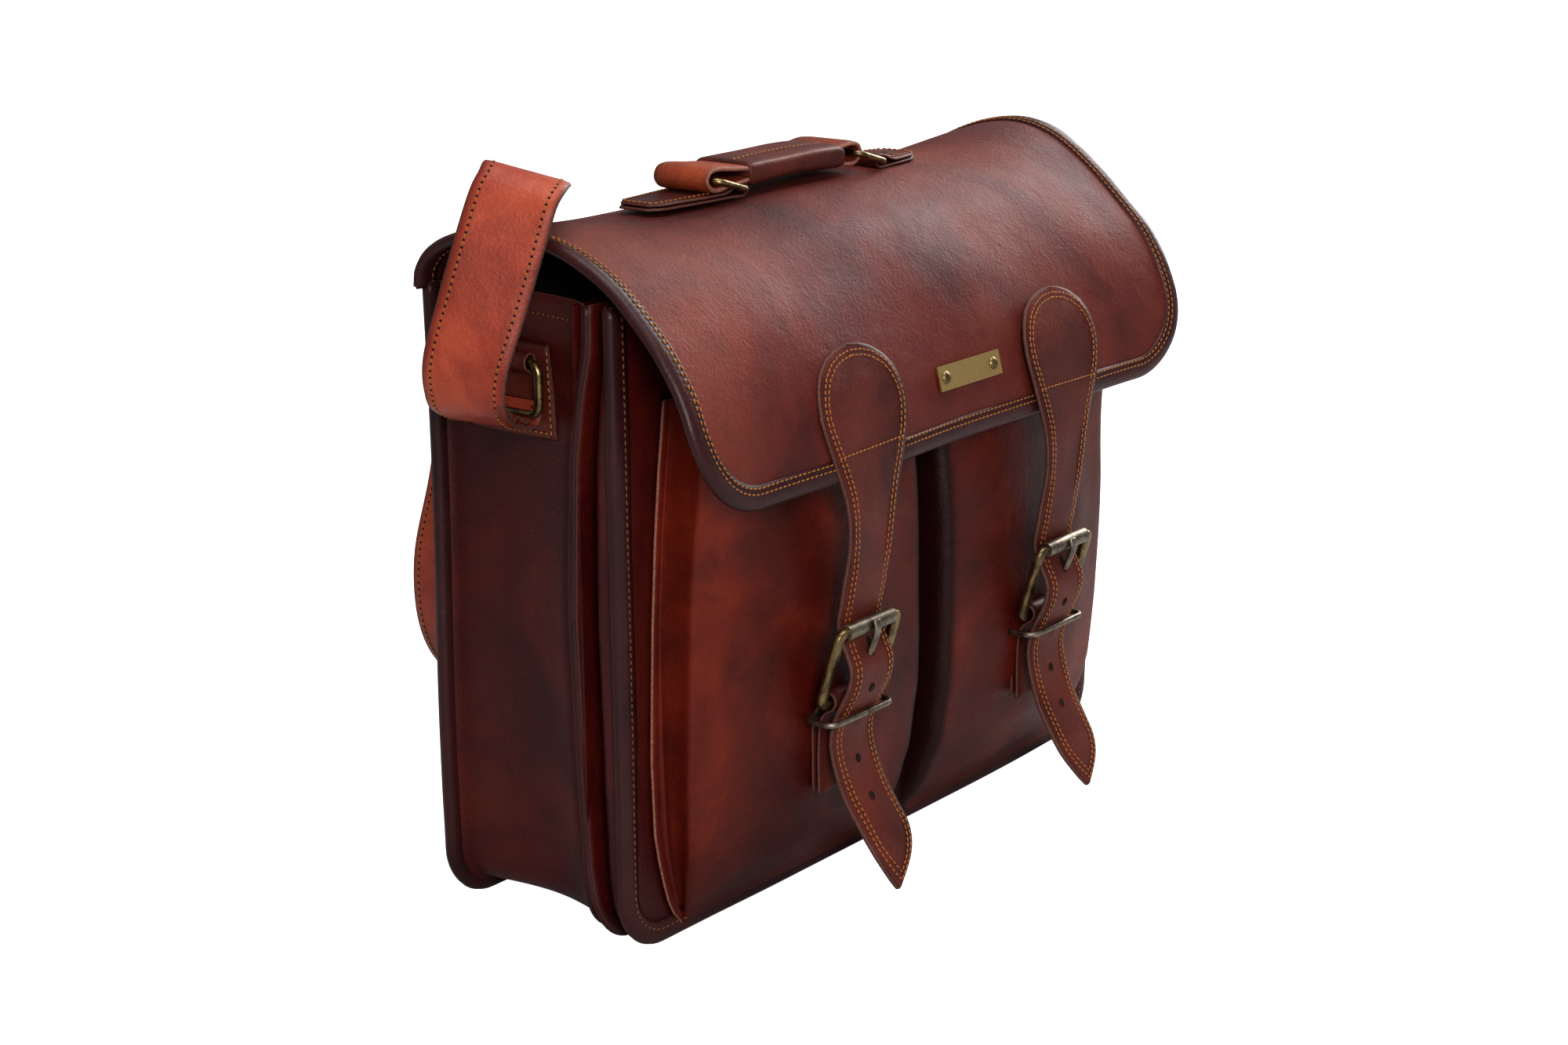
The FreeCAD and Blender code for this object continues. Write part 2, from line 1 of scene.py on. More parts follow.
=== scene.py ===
import bpy
import math
import numpy as np
from mathutils import Matrix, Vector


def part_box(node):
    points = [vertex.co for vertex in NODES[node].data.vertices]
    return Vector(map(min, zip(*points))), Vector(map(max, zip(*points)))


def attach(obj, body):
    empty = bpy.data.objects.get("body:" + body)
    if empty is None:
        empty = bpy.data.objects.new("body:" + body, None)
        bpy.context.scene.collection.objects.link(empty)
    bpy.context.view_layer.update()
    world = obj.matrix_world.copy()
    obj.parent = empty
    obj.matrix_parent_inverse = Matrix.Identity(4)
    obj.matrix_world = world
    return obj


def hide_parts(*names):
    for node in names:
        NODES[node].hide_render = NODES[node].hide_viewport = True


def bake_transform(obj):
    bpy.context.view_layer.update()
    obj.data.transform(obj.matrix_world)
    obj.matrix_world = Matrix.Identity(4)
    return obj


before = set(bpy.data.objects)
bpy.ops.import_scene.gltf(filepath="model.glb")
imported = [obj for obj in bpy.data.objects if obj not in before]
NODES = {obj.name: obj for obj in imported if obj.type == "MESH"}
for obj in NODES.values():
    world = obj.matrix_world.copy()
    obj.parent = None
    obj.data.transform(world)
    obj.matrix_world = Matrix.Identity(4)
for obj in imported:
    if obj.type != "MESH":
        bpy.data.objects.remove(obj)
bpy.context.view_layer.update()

TAG = {-1: "left", 1: "right"}
rng = np.random.default_rng(7)

# The shapes are drawn on the bag's own axes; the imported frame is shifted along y.
BACK_PANEL_Y = 0.05435
back_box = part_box("back_panel")
MID_Y = (back_box[0][1] + back_box[1][1]) / 2 - BACK_PANEL_Y


def to_frame(p):
    """Bag millimetres to row-frame metres."""
    return np.asarray(p, float) / 1000.0 + np.array([0.0, MID_Y, 0.0])


# ---- materials
def nodes_of(name):
    m = bpy.data.materials.new(name)
    m.use_nodes = True
    return m, m.node_tree, m.node_tree.nodes["Principled BSDF"]


def feed(nt, socket, v):
    """Put a constant on a socket, or link another node's output to it."""
    if isinstance(v, bpy.types.NodeSocket):
        nt.links.new(v, socket)
    else:
        socket.default_value = v


def put(nt, n, **inputs):
    for k, v in inputs.items():
        feed(nt, n.inputs[k.replace("_", " ")], v)
    return n


def new(nt, kind, **inputs):
    return put(nt, nt.nodes.new(kind), **inputs)


def noise(nt, vec, scale, detail=3.0, rough=0.55, distortion=0.0):
    n = new(nt, "ShaderNodeTexNoise", Vector=vec, Scale=scale, Detail=detail, Roughness=rough,
            Distortion=distortion)
    return n.outputs["Fac"]


def ramp(nt, fac, stops):
    n = nt.nodes.new("ShaderNodeValToRGB")
    el = n.color_ramp.elements
    while len(el) < len(stops):
        el.new(0.5)
    for e, (p, c) in zip(el, stops):
        e.position = p
        e.color = (*c, 1) if len(c) == 3 else (c[0], c[0], c[0], 1)
    nt.links.new(fac, n.inputs["Fac"])
    return n.outputs["Color"]


def mix(nt, fac, a, b, kind="MIX"):
    n = nt.nodes.new("ShaderNodeMix")
    n.data_type = "RGBA"
    n.blend_type = kind
    for i, v in ((0, fac), (6, a), (7, b)):
        feed(nt, n.inputs[i], (*v, 1) if isinstance(v, tuple) else v)
    return n.outputs[2]


def math_node(nt, op, a, b=0.0, c=0.0):
    n = nt.nodes.new("ShaderNodeMath")
    n.operation = op
    for i, v in enumerate((a, b, c)):
        feed(nt, n.inputs[i], v)
    return n.outputs[0]


def shade(colour, k):
    return tuple(c * k for c in colour)


def attribute(nt, name):
    n = nt.nodes.new("ShaderNodeAttribute")
    n.attribute_name = name
    return n.outputs["Fac"]


def leather(name, dark, base, light, rough, grain, coat, cloud, wrinkle=1.0, spots=0.35):
    """Pull-up leather: cloudy colour, pebble grain, fine creases and pale wear that is partly a painted
    highlight.

    The point attribute "edge" darkens it: burnished edges, and on the pockets painted shade. A second point
    attribute makes it pale: wear, partly a painted highlight."""
    m, nt, bsdf = nodes_of(name)
    vec = nt.nodes.new("ShaderNodeTexCoord").outputs["Object"]
    clouds = noise(nt, vec, cloud, 4.0, 0.6, 0.6)
    colour = ramp(nt, clouds, [(0.28, dark), (0.5, base), (0.74, light)])
    smudge = noise(nt, vec, cloud * 3.7, 5.0, 0.65, 0.9)
    smudge = ramp(nt, smudge, [(0.52, (0,)), (0.78, (1,))])
    colour = mix(nt, math_node(nt, "MULTIPLY", smudge, spots), colour, dark)
    pores = noise(nt, vec, 900.0, 2.0, 0.6)
    colour = mix(nt, ramp(nt, pores, [(0.5, (0,)), (0.8, (0.35,))]), colour, shade(dark, 0.45))
    # darkens where "edge" is set: burnished edges, and on the pockets painted shade between them
    edge = math_node(nt, "MULTIPLY", attribute(nt, "edge"), 0.55)
    colour = mix(nt, edge, colour, shade(dark, 0.5))
    # pale patches where the second attribute is set: wear, partly a painted highlight along the pockets'
    # creases
    wear_and_highlight = ramp(nt, noise(nt, vec, 26.0, 5.0, 0.65, 0.8), [(0.36, (0.12,)), (0.62, (1,))])
    wear_and_highlight = math_node(nt, "MULTIPLY", wear_and_highlight, 0.62)
    colour = mix(nt, math_node(nt, "MULTIPLY", attribute(nt, "rubbed_and_highlight"), wear_and_highlight), colour, light)

    pebble = nt.nodes.new("ShaderNodeTexVoronoi")
    pebble.feature = "SMOOTH_F1"
    put(nt, pebble, Vector=vec, Scale=620.0, Smoothness=0.35)
    fine = noise(nt, vec, 1700.0, 3.0, 0.6)
    crease = noise(nt, vec, 95.0, 6.0, 0.7, 1.4)
    soft = noise(nt, vec, 28.0, 3.0, 0.5)
    height = math_node(nt, "MULTIPLY", pebble.outputs["Distance"], 0.35 * grain)
    height = math_node(nt, "MULTIPLY_ADD", fine, 0.25 * grain, height)
    height = math_node(nt, "MULTIPLY_ADD", crease, 0.9 * wrinkle, height)
    height = math_node(nt, "MULTIPLY_ADD", soft, 2.2 * wrinkle, height)
    b = new(nt, "ShaderNodeBump", Strength=0.42, Distance=0.0009, Height=height)
    r = math_node(nt, "MULTIPLY_ADD", noise(nt, vec, 40.0, 4.0, 0.6), 0.22, rough - 0.11)
    put(nt, bsdf, Base_Color=colour, Normal=b.outputs["Normal"], Roughness=r, Coat_Weight=coat,
        Coat_Roughness=0.32, Specular_IOR_Level=0.30)
    return m


def plain(name, colour, rough, metal=0.0, bump_scale=400.0, bump=0.15, vary=0.3):
    m, nt, bsdf = nodes_of(name)
    vec = nt.nodes.new("ShaderNodeTexCoord").outputs["Object"]
    n = noise(nt, vec, bump_scale, 4.0, 0.6)
    mottled = ramp(nt, n, [(0.3, shade(colour, 1 - vary)), (0.7, shade(colour, 1 + vary))])
    b = new(nt, "ShaderNodeBump", Strength=bump, Distance=0.0003, Height=n)
    put(nt, bsdf, Base_Color=mottled, Metallic=metal, Roughness=rough, Normal=b.outputs["Normal"])
    return m


def metal(name, bright, tarnish, rough, wear=0.5):
    """Antique plating: brown patina with rubbed bright patches and fine scratches."""
    m, nt, bsdf = nodes_of(name)
    vec = nt.nodes.new("ShaderNodeTexCoord").outputs["Object"]
    patch = noise(nt, vec, 160.0, 5.0, 0.65, 0.4)
    speck = noise(nt, vec, 1500.0, 3.0, 0.6)
    colour = ramp(nt, patch, [(wear - 0.14, tarnish), (wear + 0.16, bright)])
    speck_mask = ramp(nt, speck, [(0.56, (0,)), (0.72, (0.55,))])
    colour = mix(nt, speck_mask, colour, shade(tarnish, 0.4))
    r = math_node(nt, "MULTIPLY_ADD", speck, 0.25, rough - 0.12)
    stretch = new(nt, "ShaderNodeMapping", Vector=vec, Scale=(1.0, 9.0, 9.0))
    scratch = noise(nt, stretch.outputs["Vector"], 260.0, 3.0, 0.6)
    height = math_node(nt, "MULTIPLY_ADD", patch, 1.5, scratch)
    b = new(nt, "ShaderNodeBump", Strength=0.12, Distance=0.0002, Height=height)
    put(nt, bsdf, Base_Color=colour, Metallic=1.0, Roughness=r, Normal=b.outputs["Normal"])
    return m


M_FLAP = leather("flap_leather", (0.040, 0.008, 0.008), (0.130, 0.021, 0.016), (0.215, 0.044, 0.022),
                 rough=0.56, grain=1.2, coat=0.0, cloud=9.0, wrinkle=1.3, spots=0.5)
M_POCKET = leather("pocket_leather", (0.032, 0.003, 0.002), (0.105, 0.008, 0.003), (0.250, 0.028, 0.008),
                   rough=0.44, grain=0.8, coat=0.03, cloud=10.0, spots=0.5)
M_BODY = leather("body_leather", (0.020, 0.002, 0.002), (0.065, 0.005, 0.004), (0.120, 0.013, 0.006),
                 rough=0.38, grain=0.8, coat=0.06, cloud=9.0)
M_BIND = leather("binding_leather", (0.026, 0.006, 0.007), (0.050, 0.012, 0.012), (0.074, 0.019, 0.017),
                 rough=0.38, grain=0.5, coat=0.08, cloud=14.0, wrinkle=0.8, spots=0.2)
M_STRAP = leather("strap_leather", (0.042, 0.009, 0.008), (0.112, 0.020, 0.014), (0.170, 0.033, 0.018),
                  rough=0.44, grain=0.8, coat=0.04, cloud=16.0)
M_FOLD = leather("fold_leather", (0.140, 0.028, 0.014), (0.340, 0.066, 0.026), (0.480, 0.110, 0.040),
                 rough=0.48, grain=1.4, coat=0.03, cloud=18.0)
M_TAN = leather("shoulder_leather", (0.190, 0.028, 0.018), (0.390, 0.066, 0.036), (0.570, 0.118, 0.052),
                rough=0.40, grain=1.3, coat=0.06, cloud=17.0, spots=0.55)
M_RAW = plain("raw_edge", (0.30, 0.125, 0.085), 0.75, bump_scale=900.0, bump=0.5, vary=0.45)
M_RAW_DARK = plain("burnished_edge", (0.120, 0.042, 0.030), 0.6, bump_scale=900.0, bump=0.5, vary=0.5)
M_THREAD = plain("orange_thread", (0.40, 0.150, 0.035), 0.62, bump_scale=3500.0, bump=0.5, vary=0.3)
M_THREAD_DIM = plain("brown_thread", (0.220, 0.085, 0.028), 0.65, bump_scale=3500.0, bump=0.5, vary=0.3)
# needle and punched holes are dark discs: painted shade in place of the holes' depth
M_HOLE_SHADE = plain("painted_hole_shade", (0.012, 0.004, 0.003), 0.9)
BRIGHT, DIM = [M_THREAD, M_HOLE_SHADE], [M_THREAD_DIM, M_HOLE_SHADE]
M_CLOTH = plain("lining_weave", (0.030, 0.020, 0.016), 0.9, bump_scale=1400.0, bump=0.6)
M_BRASS = metal("antique_brass", (0.40, 0.29, 0.14), (0.105, 0.075, 0.040), 0.36, 0.50)
M_PEWTER = metal("worn_plating", (0.36, 0.31, 0.24), (0.13, 0.105, 0.08), 0.40, 0.47)
M_PLATE = plain("plate_brass", (0.80, 0.56, 0.24), 0.34, metal=1.0, bump_scale=900.0, bump=0.06, vary=0.08)


# ---- mesh kernel
def unit(v):
    v = np.asarray(v, float)
    return v / np.maximum(np.linalg.norm(v, axis=-1, keepdims=True), 1e-9)


def spline(points, n):
    """Smooth curve through control rows, resampled at even arc length."""
    p = np.asarray(points, float)
    ext = np.vstack([2 * p[0] - p[1], p, 2 * p[-1] - p[-2]])
    out = []
    for i in range(1, len(ext) - 2):
        t = np.linspace(0, 1, 24, endpoint=False)[:, None]
        a, b, c, d = ext[i - 1], ext[i], ext[i + 1], ext[i + 2]
        out.append(0.5 * ((2 * b) + (c - a) * t + (2 * a - 5 * b + 4 * c - d) * t ** 2
                          + (3 * b - a - 3 * c + d) * t ** 3))
    return resample(np.vstack(out + [p[-1:]]), n)


def resample(line, n):
    step = np.linalg.norm(np.diff(line[:, :3], axis=0), axis=1)
    s = np.concatenate([[0], np.cumsum(step)])
    want = np.linspace(0, s[-1], n)
    return np.stack([np.interp(want, s, line[:, k]) for k in range(line.shape[1])], axis=1)


def make(name, verts, faces, mats, body, face_mat=None, replaces=(), edge=None, rubbed_and_highlight=None):
    """A mesh piece.

    body is a body's name, or (body_a, body_b, start, end) for leather that lies between two; such a piece is
    left unattached, with its transform baked."""
    me = bpy.data.meshes.new(name)
    whole = [tuple(int(i) for i in f) for f in faces]
    me.from_pydata([tuple(v) for v in to_frame(verts)], [], whole)
    for m in mats:
        me.materials.append(m)
    if face_mat is not None:
        me.polygons.foreach_set("material_index", np.asarray(face_mat, dtype=np.int32))
    me.polygons.foreach_set("use_smooth", np.full(len(me.polygons), True))
    for key, weight in (("edge", edge), ("rubbed_and_highlight", rubbed_and_highlight)):
        if weight is not None:
            layer = me.attributes.new(key, "FLOAT", "POINT")
            layer.data.foreach_set("value", np.asarray(weight, dtype=np.float32))
    me.update()
    o = bpy.data.objects.new(name, me)
    bpy.context.scene.collection.objects.link(o)
    if isinstance(body, tuple):
        tuple(to_frame(body[2]))
        tuple(to_frame(body[3]))
        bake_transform(o)
    else:
        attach(o, body)
    if replaces:
        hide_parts(*replaces)


def grid_shell(P, N, t, edge_in):
    """Closed leather sheet round a grid of mid-surface points.

    Returns its vertices, faces, rim mask and edge weights."""
    nu, nv = P.shape[:2]
    half = np.full((nu, nv, 1), t / 2.0)
    half[0], half[-1], half[:, 0], half[:, -1] = [t / 2.0 * 0.72] * 4
    top, bot = P + N * half, P - N * half
    idx = np.arange(nu * nv).reshape(nu, nv)
    loop = list(idx[:-1, 0]) + list(idx[-1, :-1]) + list(idx[:0:-1, -1]) + list(idx[0, :0:-1])
    flat = P.reshape(-1, 3)
    ring = flat[loop]
    tang = unit(np.roll(ring, -1, 0) - np.roll(ring, 1, 0))
    nrm = N.reshape(-1, 3)[loop]
    out = np.cross(tang, nrm)
    mid = ring + out * (t * 0.28)
    n = nu * nv
    verts = np.vstack([top.reshape(-1, 3), bot.reshape(-1, 3), mid])
    a, b, c, d = idx[:-1, :-1].ravel(), idx[1:, :-1].ravel(), idx[1:, 1:].ravel(), idx[:-1, 1:].ravel()
    faces = list(np.stack([a, b, c, d], 1)) + list(np.stack([d, c, b, a], 1) + n)
    rim = [0] * len(faces)
    k = len(loop)
    for i in range(k):
        j = (i + 1) % k
        faces.append((loop[j], loop[i], 2 * n + i, 2 * n + j))
        faces.append((2 * n + j, 2 * n + i, loop[i] + n, loop[j] + n))
        rim += [1, 1]
    u = np.minimum(np.arange(nu), nu - 1 - np.arange(nu))[:, None]
    v = np.minimum(np.arange(nv), nv - 1 - np.arange(nv))[None, :]
    w = (np.minimum(u, v) < edge_in).astype(float).ravel()
    return verts, faces, rim, np.concatenate([w, w, np.ones(k)])


def grid_normals(P):
    return unit(np.cross(*np.gradient(P, axis=(0, 1))))


def sheet(name, P, t, mats, body, flip=False, replaces=(), edge_in=1):
    N = grid_normals(P) * (-1 if flip else 1)
    verts, faces, rim, edge = grid_shell(P, N, t, edge_in)
    if flip:
        faces = [tuple(f)[::-1] for f in faces]
    make(name, verts, faces, mats, body, rim, replaces, edge)
    return N


def tube(name, P, mats, body, closed_path=False, replaces=(), flip=False):
    """Closed sweep: P is path x section x 3, wrapped round the section."""
    n, m = P.shape[:2]
    idx = np.arange(n * m).reshape(n, m)
    nxt = np.roll(idx, -1, axis=1)
    faces = []
    for i in range(n if closed_path else n - 1):
        j = (i + 1) % n
        faces += list(np.stack([idx[i], idx[j], nxt[j], nxt[i]], 1))
    if not closed_path:
        faces += [idx[0], idx[-1][::-1]]
    if flip:
        faces = [tuple(f)[::-1] for f in faces]
    make(name, P.reshape(-1, 3), faces, mats, body, None, replaces)


class Ribbon:
    """A strap's centre line and width direction, addressed by sideways x, length s and height h."""

    def __init__(self, line, hints, n, bulge=None):
        hints = np.broadcast_to(np.asarray(hints, float), (len(line), 3))
        rows = spline(np.hstack([np.asarray(line, float), hints]), n)
        self.c = rows[:, :3]
        self.t = unit(np.gradient(self.c, axis=0))
        w = rows[:, 3:]
        self.w = unit(w - self.t * np.sum(w * self.t, axis=1, keepdims=True))
        self.n = np.cross(self.t, self.w)
        step = np.linalg.norm(np.diff(self.c, axis=0), axis=1)
        self.s = np.concatenate([[0], np.cumsum(step)])
        self.length = self.s[-1]
        self.bulge = bulge or (lambda x, s: 0 * x)

    def at(self, x, s, h=0.0):
        x, s = np.broadcast_arrays(np.asarray(x, float), np.asarray(s, float))
        c, w, n = [np.stack([np.interp(s, self.s, a[:, k]) for k in range(3)], axis=-1)
                   for a in (self.c, self.w, self.n)]
        return c + w * x[..., None] + unit(n) * (h + self.bulge(x, s))[..., None]

    def normal(self, x, s):
        e = 0.5
        a = self.at(x + e, s) - self.at(x - e, s)
        b = self.at(x, np.minimum(s + e, self.length)) - self.at(x, np.maximum(s - e, 0))
        return unit(np.cross(b, a))


def ribbon_mesh(name, rib, svals, half, t, mats, body, cols=9, replaces=()):
    S, X = np.meshgrid(svals, np.linspace(-1, 1, cols), indexing="ij")
    H = np.asarray([half(s) for s in svals])[:, None]
    verts, faces, rim, edge = grid_shell(rib.at(X * H, S), rib.normal(X * H, S), t, 1)
    make(name, verts, faces, mats, body, rim, replaces, edge)


STITCH_WIDTH, STITCH_LIFT, STITCH_SLANT = 0.85, 0.12, 0.10


def thread_rows(name, rows, body, pitch, length=2.45, mats=BRIGHT, hole_size=1.0):
    """Stitches: one small twisted bead per stitch, and between them a dark disc of painted shade for the
    needle hole.
    """
    ang = np.linspace(0, 2 * np.pi, 6, endpoint=False)
    rings = [(-0.36, 0.8), (0.0, 1.0), (0.36, 0.8)]
    bead = [(a, r * math.cos(k), r * math.sin(k)) for a, r in rings for k in ang]
    bead = np.array([(-0.5, 0, 0)] + bead + [(0.5, 0, 0)])
    bf = [(0, 1 + (k + 1) % 6, 1 + k) for k in range(6)]
    for r in range(2):
        low, high = 1 + r * 6, 7 + r * 6
        bf += [(low + k, low + (k + 1) % 6, high + (k + 1) % 6, high + k) for k in range(6)]
    bf += [(19, 13 + k, 13 + (k + 1) % 6) for k in range(6)]
    hole = [(math.cos(k), math.sin(k), 0.0) for k in ang] + [(0, 0, 0.25), (0, 0, -0.25)]
    hole = hole_size * np.array(hole)
    hf = [(k, (k + 1) % 6, 6) for k in range(6)] + [((k + 1) % 6, k, 7) for k in range(6)]
    verts, faces, fm, base = [], [], [], 0
    for line, normal in rows:
        step = np.linalg.norm(np.diff(line, axis=0), axis=1)
        s = np.concatenate([[0], np.cumsum(step)])
        count = max(int(s[-1] / pitch), 1)
        where = (np.arange(count) + 0.5) * (s[-1] / count)
        get = lambda a, w: np.stack([np.interp(w, s, a[:, k]) for k in range(3)], axis=-1)
        c = get(line, where)
        t = unit(get(line, where + 0.4) - get(line, where - 0.4))
        n = unit(get(normal, where))
        b = np.cross(n, t)
        for i in range(count):
            a = STITCH_SLANT + rng.normal(0, 0.05)
            tt = t[i] * math.cos(a) + b[i] * math.sin(a)
            bb = b[i] * math.cos(a) - t[i] * math.sin(a)
            L, w = length * rng.uniform(0.92, 1.05), STITCH_WIDTH * rng.uniform(0.9, 1.1)
            p = c[i] + n[i] * STITCH_LIFT
            across = bead[:, 1:2] * (w / 2) * bb + bead[:, 2:3] * (w * 0.42) * n[i]
            verts.append(p + bead[:, :1] * L * tt + across)
            faces += [tuple(base + k for k in f) for f in bf]
            fm += [0] * len(bf)
            base += 20
            p = c[i] + t[i] * (s[-1] / count / 2) + n[i] * 0.02
            verts.append(p + hole[:, :1] * 0.42 * t[i] + hole[:, 1:2] * 0.5 * b[i]
                         + hole[:, 2:3] * 0.25 * n[i])
            faces += [tuple(base + k for k in f) for f in hf]
            fm += [1] * len(hf)
            base += 8
    make(name, np.vstack(verts), faces, mats, body, fm)


def bump(v, centre, width):
    return np.exp(-((v - centre) / width) ** 2)


def smooth01(v, a, b):
    t = np.clip((v - a) / (b - a), 0, 1)
    return t * t * (3 - 2 * t)


# ---- bag body
BAG_HALF, CORNER_R, TOP = 200.0, 28.0, 303.0
N_SIDE, N_ARC, N_LOW = 60, 12, 70


def outline(inset):
    """Points round the bag's U outline and the directions pointing into the bag (x, z)."""
    w, z0, r = BAG_HALF - inset, inset, max(CORNER_R - inset, 5.0)
    low = z0 + r
    rows = [(-w, z, 1, 0) for z in np.linspace(TOP, low, N_SIDE, endpoint=False)]
    turn = np.linspace(0, math.pi / 2, N_ARC, endpoint=False)
    rows += [(-w + r - r * math.cos(a), low - r * math.sin(a), math.cos(a), math.sin(a)) for a in turn]
    rows += [(x, z0, 0, 1) for x in np.linspace(-w + r, w - r, N_LOW, endpoint=False)]
    turn = np.linspace(math.pi / 2, 0, N_ARC, endpoint=False)
    rows += [(w - r + r * math.cos(a), low - r * math.sin(a), -math.cos(a), math.sin(a)) for a in turn]
    rows += [(w, z, -1, 0) for z in np.linspace(low, TOP, N_SIDE)]
    rows = np.array(rows)
    return rows[:, :2], rows[:, 2:]


RIDGE_Z = [0, 18, 40, 80, 155, 235, 264, 282, 308]
RIDGE_Y = [-40, -38, -34, -31, -29.5, -33, -37, -41, -41]


def warp(P):
    """The lazy, slightly swollen shape that used leather takes."""
    P = np.array(P, float)
    x, y, z = P[..., 0], P[..., 1], P[..., 2]
    front = smooth01(-y, 40, 52)
    back = smooth01(y, 40, 52)
    mid = smooth01(200 - np.abs(x), 0, 120)
    dy = -4.0 * front * mid * bump(z, 90, 110) + 3.0 * back * mid * bump(z, 150, 130)
    dy += 1.2 * front * np.sin(z / 37.0 + x / 90.0) * smooth01(np.abs(x), 120, 200)
    dx = 0.9 * np.sin(z / 41.0 + y / 30.0 + 0.7) * smooth01(np.abs(x), 150, 190) * smooth01(z, 10, 60)
    dx += -np.sign(x) * 2.0 * bump(z, 150, 70) * smooth01(np.abs(x), 150, 190) * front
    dz = 0.9 * np.sin(x / 47.0) * smooth01(60 - z, 0, 50) * smooth01(z, 3, 14)
    return P + np.stack([dx, dy, dz], -1)


def u_shell(name, section, t, replaces):
    """Gusset wall: a section of (inset, y) rows carried round the U outline."""
    rows = spline(np.array([(a, b, 0.0) for a, b in section]), 28)[:, :2]
    P = []
    for inset, y in rows:
        pts, _ = outline(inset)
        P.append(np.stack([pts[:, 0], np.full(len(pts), y), pts[:, 1]], 1))
    P = np.array(P).transpose(1, 0, 2)
    shift = np.interp(P[..., 2], RIDGE_Z, RIDGE_Y) + 33.0
    near = 1 - smooth01(np.abs(P[..., 1] + 33), 4, 22)
    P[..., 1] += shift * near * smooth01(np.abs(P[..., 0]), 120, 185)
    # the right-hand ends stand up and lean inwards
    lift = smooth01(P[..., 0], 150, 190) * smooth01(P[..., 2], 262, 303) * bump(P[..., 1], 8, 34)
    P[..., 2] += 11.0 * lift
    P[..., 0] -= 7.0 * lift
    P = warp(P)
    mats = [M_BODY, M_RAW_DARK]
    return P, sheet(name, P, t, mats, "bag_body", False, [replaces], edge_in=0)


rear_section = [(2.0, 51.6), (5.0, 51.4), (8.0, 49.5), (9.0, 46), (9.6, 36), (10.6, 20), (11.0, 4),
                (10.2, -10), (8.4, -20), (5.8, -26.5), (3.4, -30.2), (2.4, -31.6)]
front_section = [(2.4, -34.4), (6.0, -35.2), (14, -36.4), (26, -38.4), (30.5, -40.2), (26, -41.4),
                 (12, -42.4), (5.8, -43.8), (3.8, -46.0), (2.8, -49.5), (2.2, -51.8)]
rear_P, rear_N = u_shell("rear_gusset_leather", rear_section, 1.6, "rear_gusset")
u_shell("front_gusset_leather", front_section, 1.4, "front_gusset")


def gusset_hem():
    """The turned hem along the rear gusset's two top ends."""
    rows = []
    for i in (2, -3):
        out = -rear_N[i, 2:-2] * HEM_SIDE
        rows.append((rear_P[i, 2:-2] + out * 0.85, out))
    thread_rows("gusset_hem_stitches", rows, "bag_body", 3.3, mats=DIM)


# +1 where the grid's normals point into the bag
HEM_SIDE = 1.0 if rear_N[20, 14, 0] > 0 else -1.0
gusset_hem()


def ridge_edge():
    """The divider's sewn edge: three layers pressed into a rounded ridge."""
    pts, inw = outline(0.0)
    sec = [(9, -1.7), (5.0, -1.9), (1.8, -1.6), (0.3, 0), (1.8, 1.6), (5.0, 1.9), (9, 1.7), (9.5, 0)]
    P = []
    for a, b in sec:
        x, z = pts[:, 0] + inw[:, 0] * a, pts[:, 1] + inw[:, 1] * a
        ridge = np.interp(z, RIDGE_Z, RIDGE_Y)
        side = smooth01(np.abs(x), 120, 185)
        y = -33.0 * (1 - side) + ridge * side + b
        P.append(np.stack([x, y, z], 1))
    P = warp(np.array(P).transpose(1, 0, 2))
    tube("divider_edge", P, [M_BIND], "bag_body", flip=True)


ridge_edge()


def edge_roll(name, seam_y, node, sign):
    """Rounded leather binding round a panel, with a sewn row on its outer leg."""
    pts, inw = outline(0.0)
    sec = [(11.2, -2.7), (9.0, -3.2), (5.5, -3.7), (2.4, -3.3), (0.5, -1.9), (0.0, 0.0),
           (0.5, 1.9), (2.4, 3.3), (5.5, 3.7), (9.0, 3.2), (11.2, 2.7), (10.6, 0)]
    i = np.arange(len(pts))
    wob = 0.35 * np.sin(i * 0.21 + sign) + 0.25 * np.sin(i * 0.073)
    P = []
    for a, b in sec:
        k = a + (wob if 3 < a < 12 else 0)
        x, z = pts[:, 0] + inw[:, 0] * k, pts[:, 1] + inw[:, 1] * k
        P.append(np.stack([x, np.full(len(x), seam_y + b), z], 1))
    P = warp(np.array(P).transpose(1, 0, 2))
    tube(name, P, [M_BIND], "bag_body", replaces=[node], flip=True)
    rows = []
    for a, face in ((7.6, 1), (7.6, -1), (10.0, -sign)):
        b = (3.4 if a < 9 else 3.05) * face
        x, z = pts[:, 0] + inw[:, 0] * a, pts[:, 1] + inw[:, 1] * a
        line = warp(np.stack([x, np.full(len(x), seam_y + b), z], 1))
        rows.append((line, np.tile([0.0, float(face), 0.0], (len(line), 1))))
    thread_rows(name + "_stitches", rows, "bag_body", 3.4, mats=DIM)


edge_roll("back_edge_roll", 53.4, "back_binding", 1)
edge_roll("front_edge_roll", -53.4, "front_binding", -1)


def panel_sheet(name, y, node, flip):
    """Flat panel inside a binding, filled from the outline's two sides inwards."""
    zs = np.concatenate([np.linspace(2.5, 30, 12, endpoint=False), np.linspace(30, TOP, 60)])
    rows = []
    for z in zs:
        w = 197.5
        if z < 28:
            w = 197.5 - 25.5 + math.sqrt(max(25.5 ** 2 - (28 - z) ** 2, 0))
        rows.append([(x, y, z) for x in np.linspace(-w, w, 90)])
    P = warp(np.array(rows))
    sheet(name, P, 2.2, [M_BODY, M_RAW_DARK], "bag_body", flip, [node], edge_in=0)


panel_sheet("front_panel_leather", -54.2, "front_panel", False)
panel_sheet("back_panel_leather", 54.2, "back_panel", True)


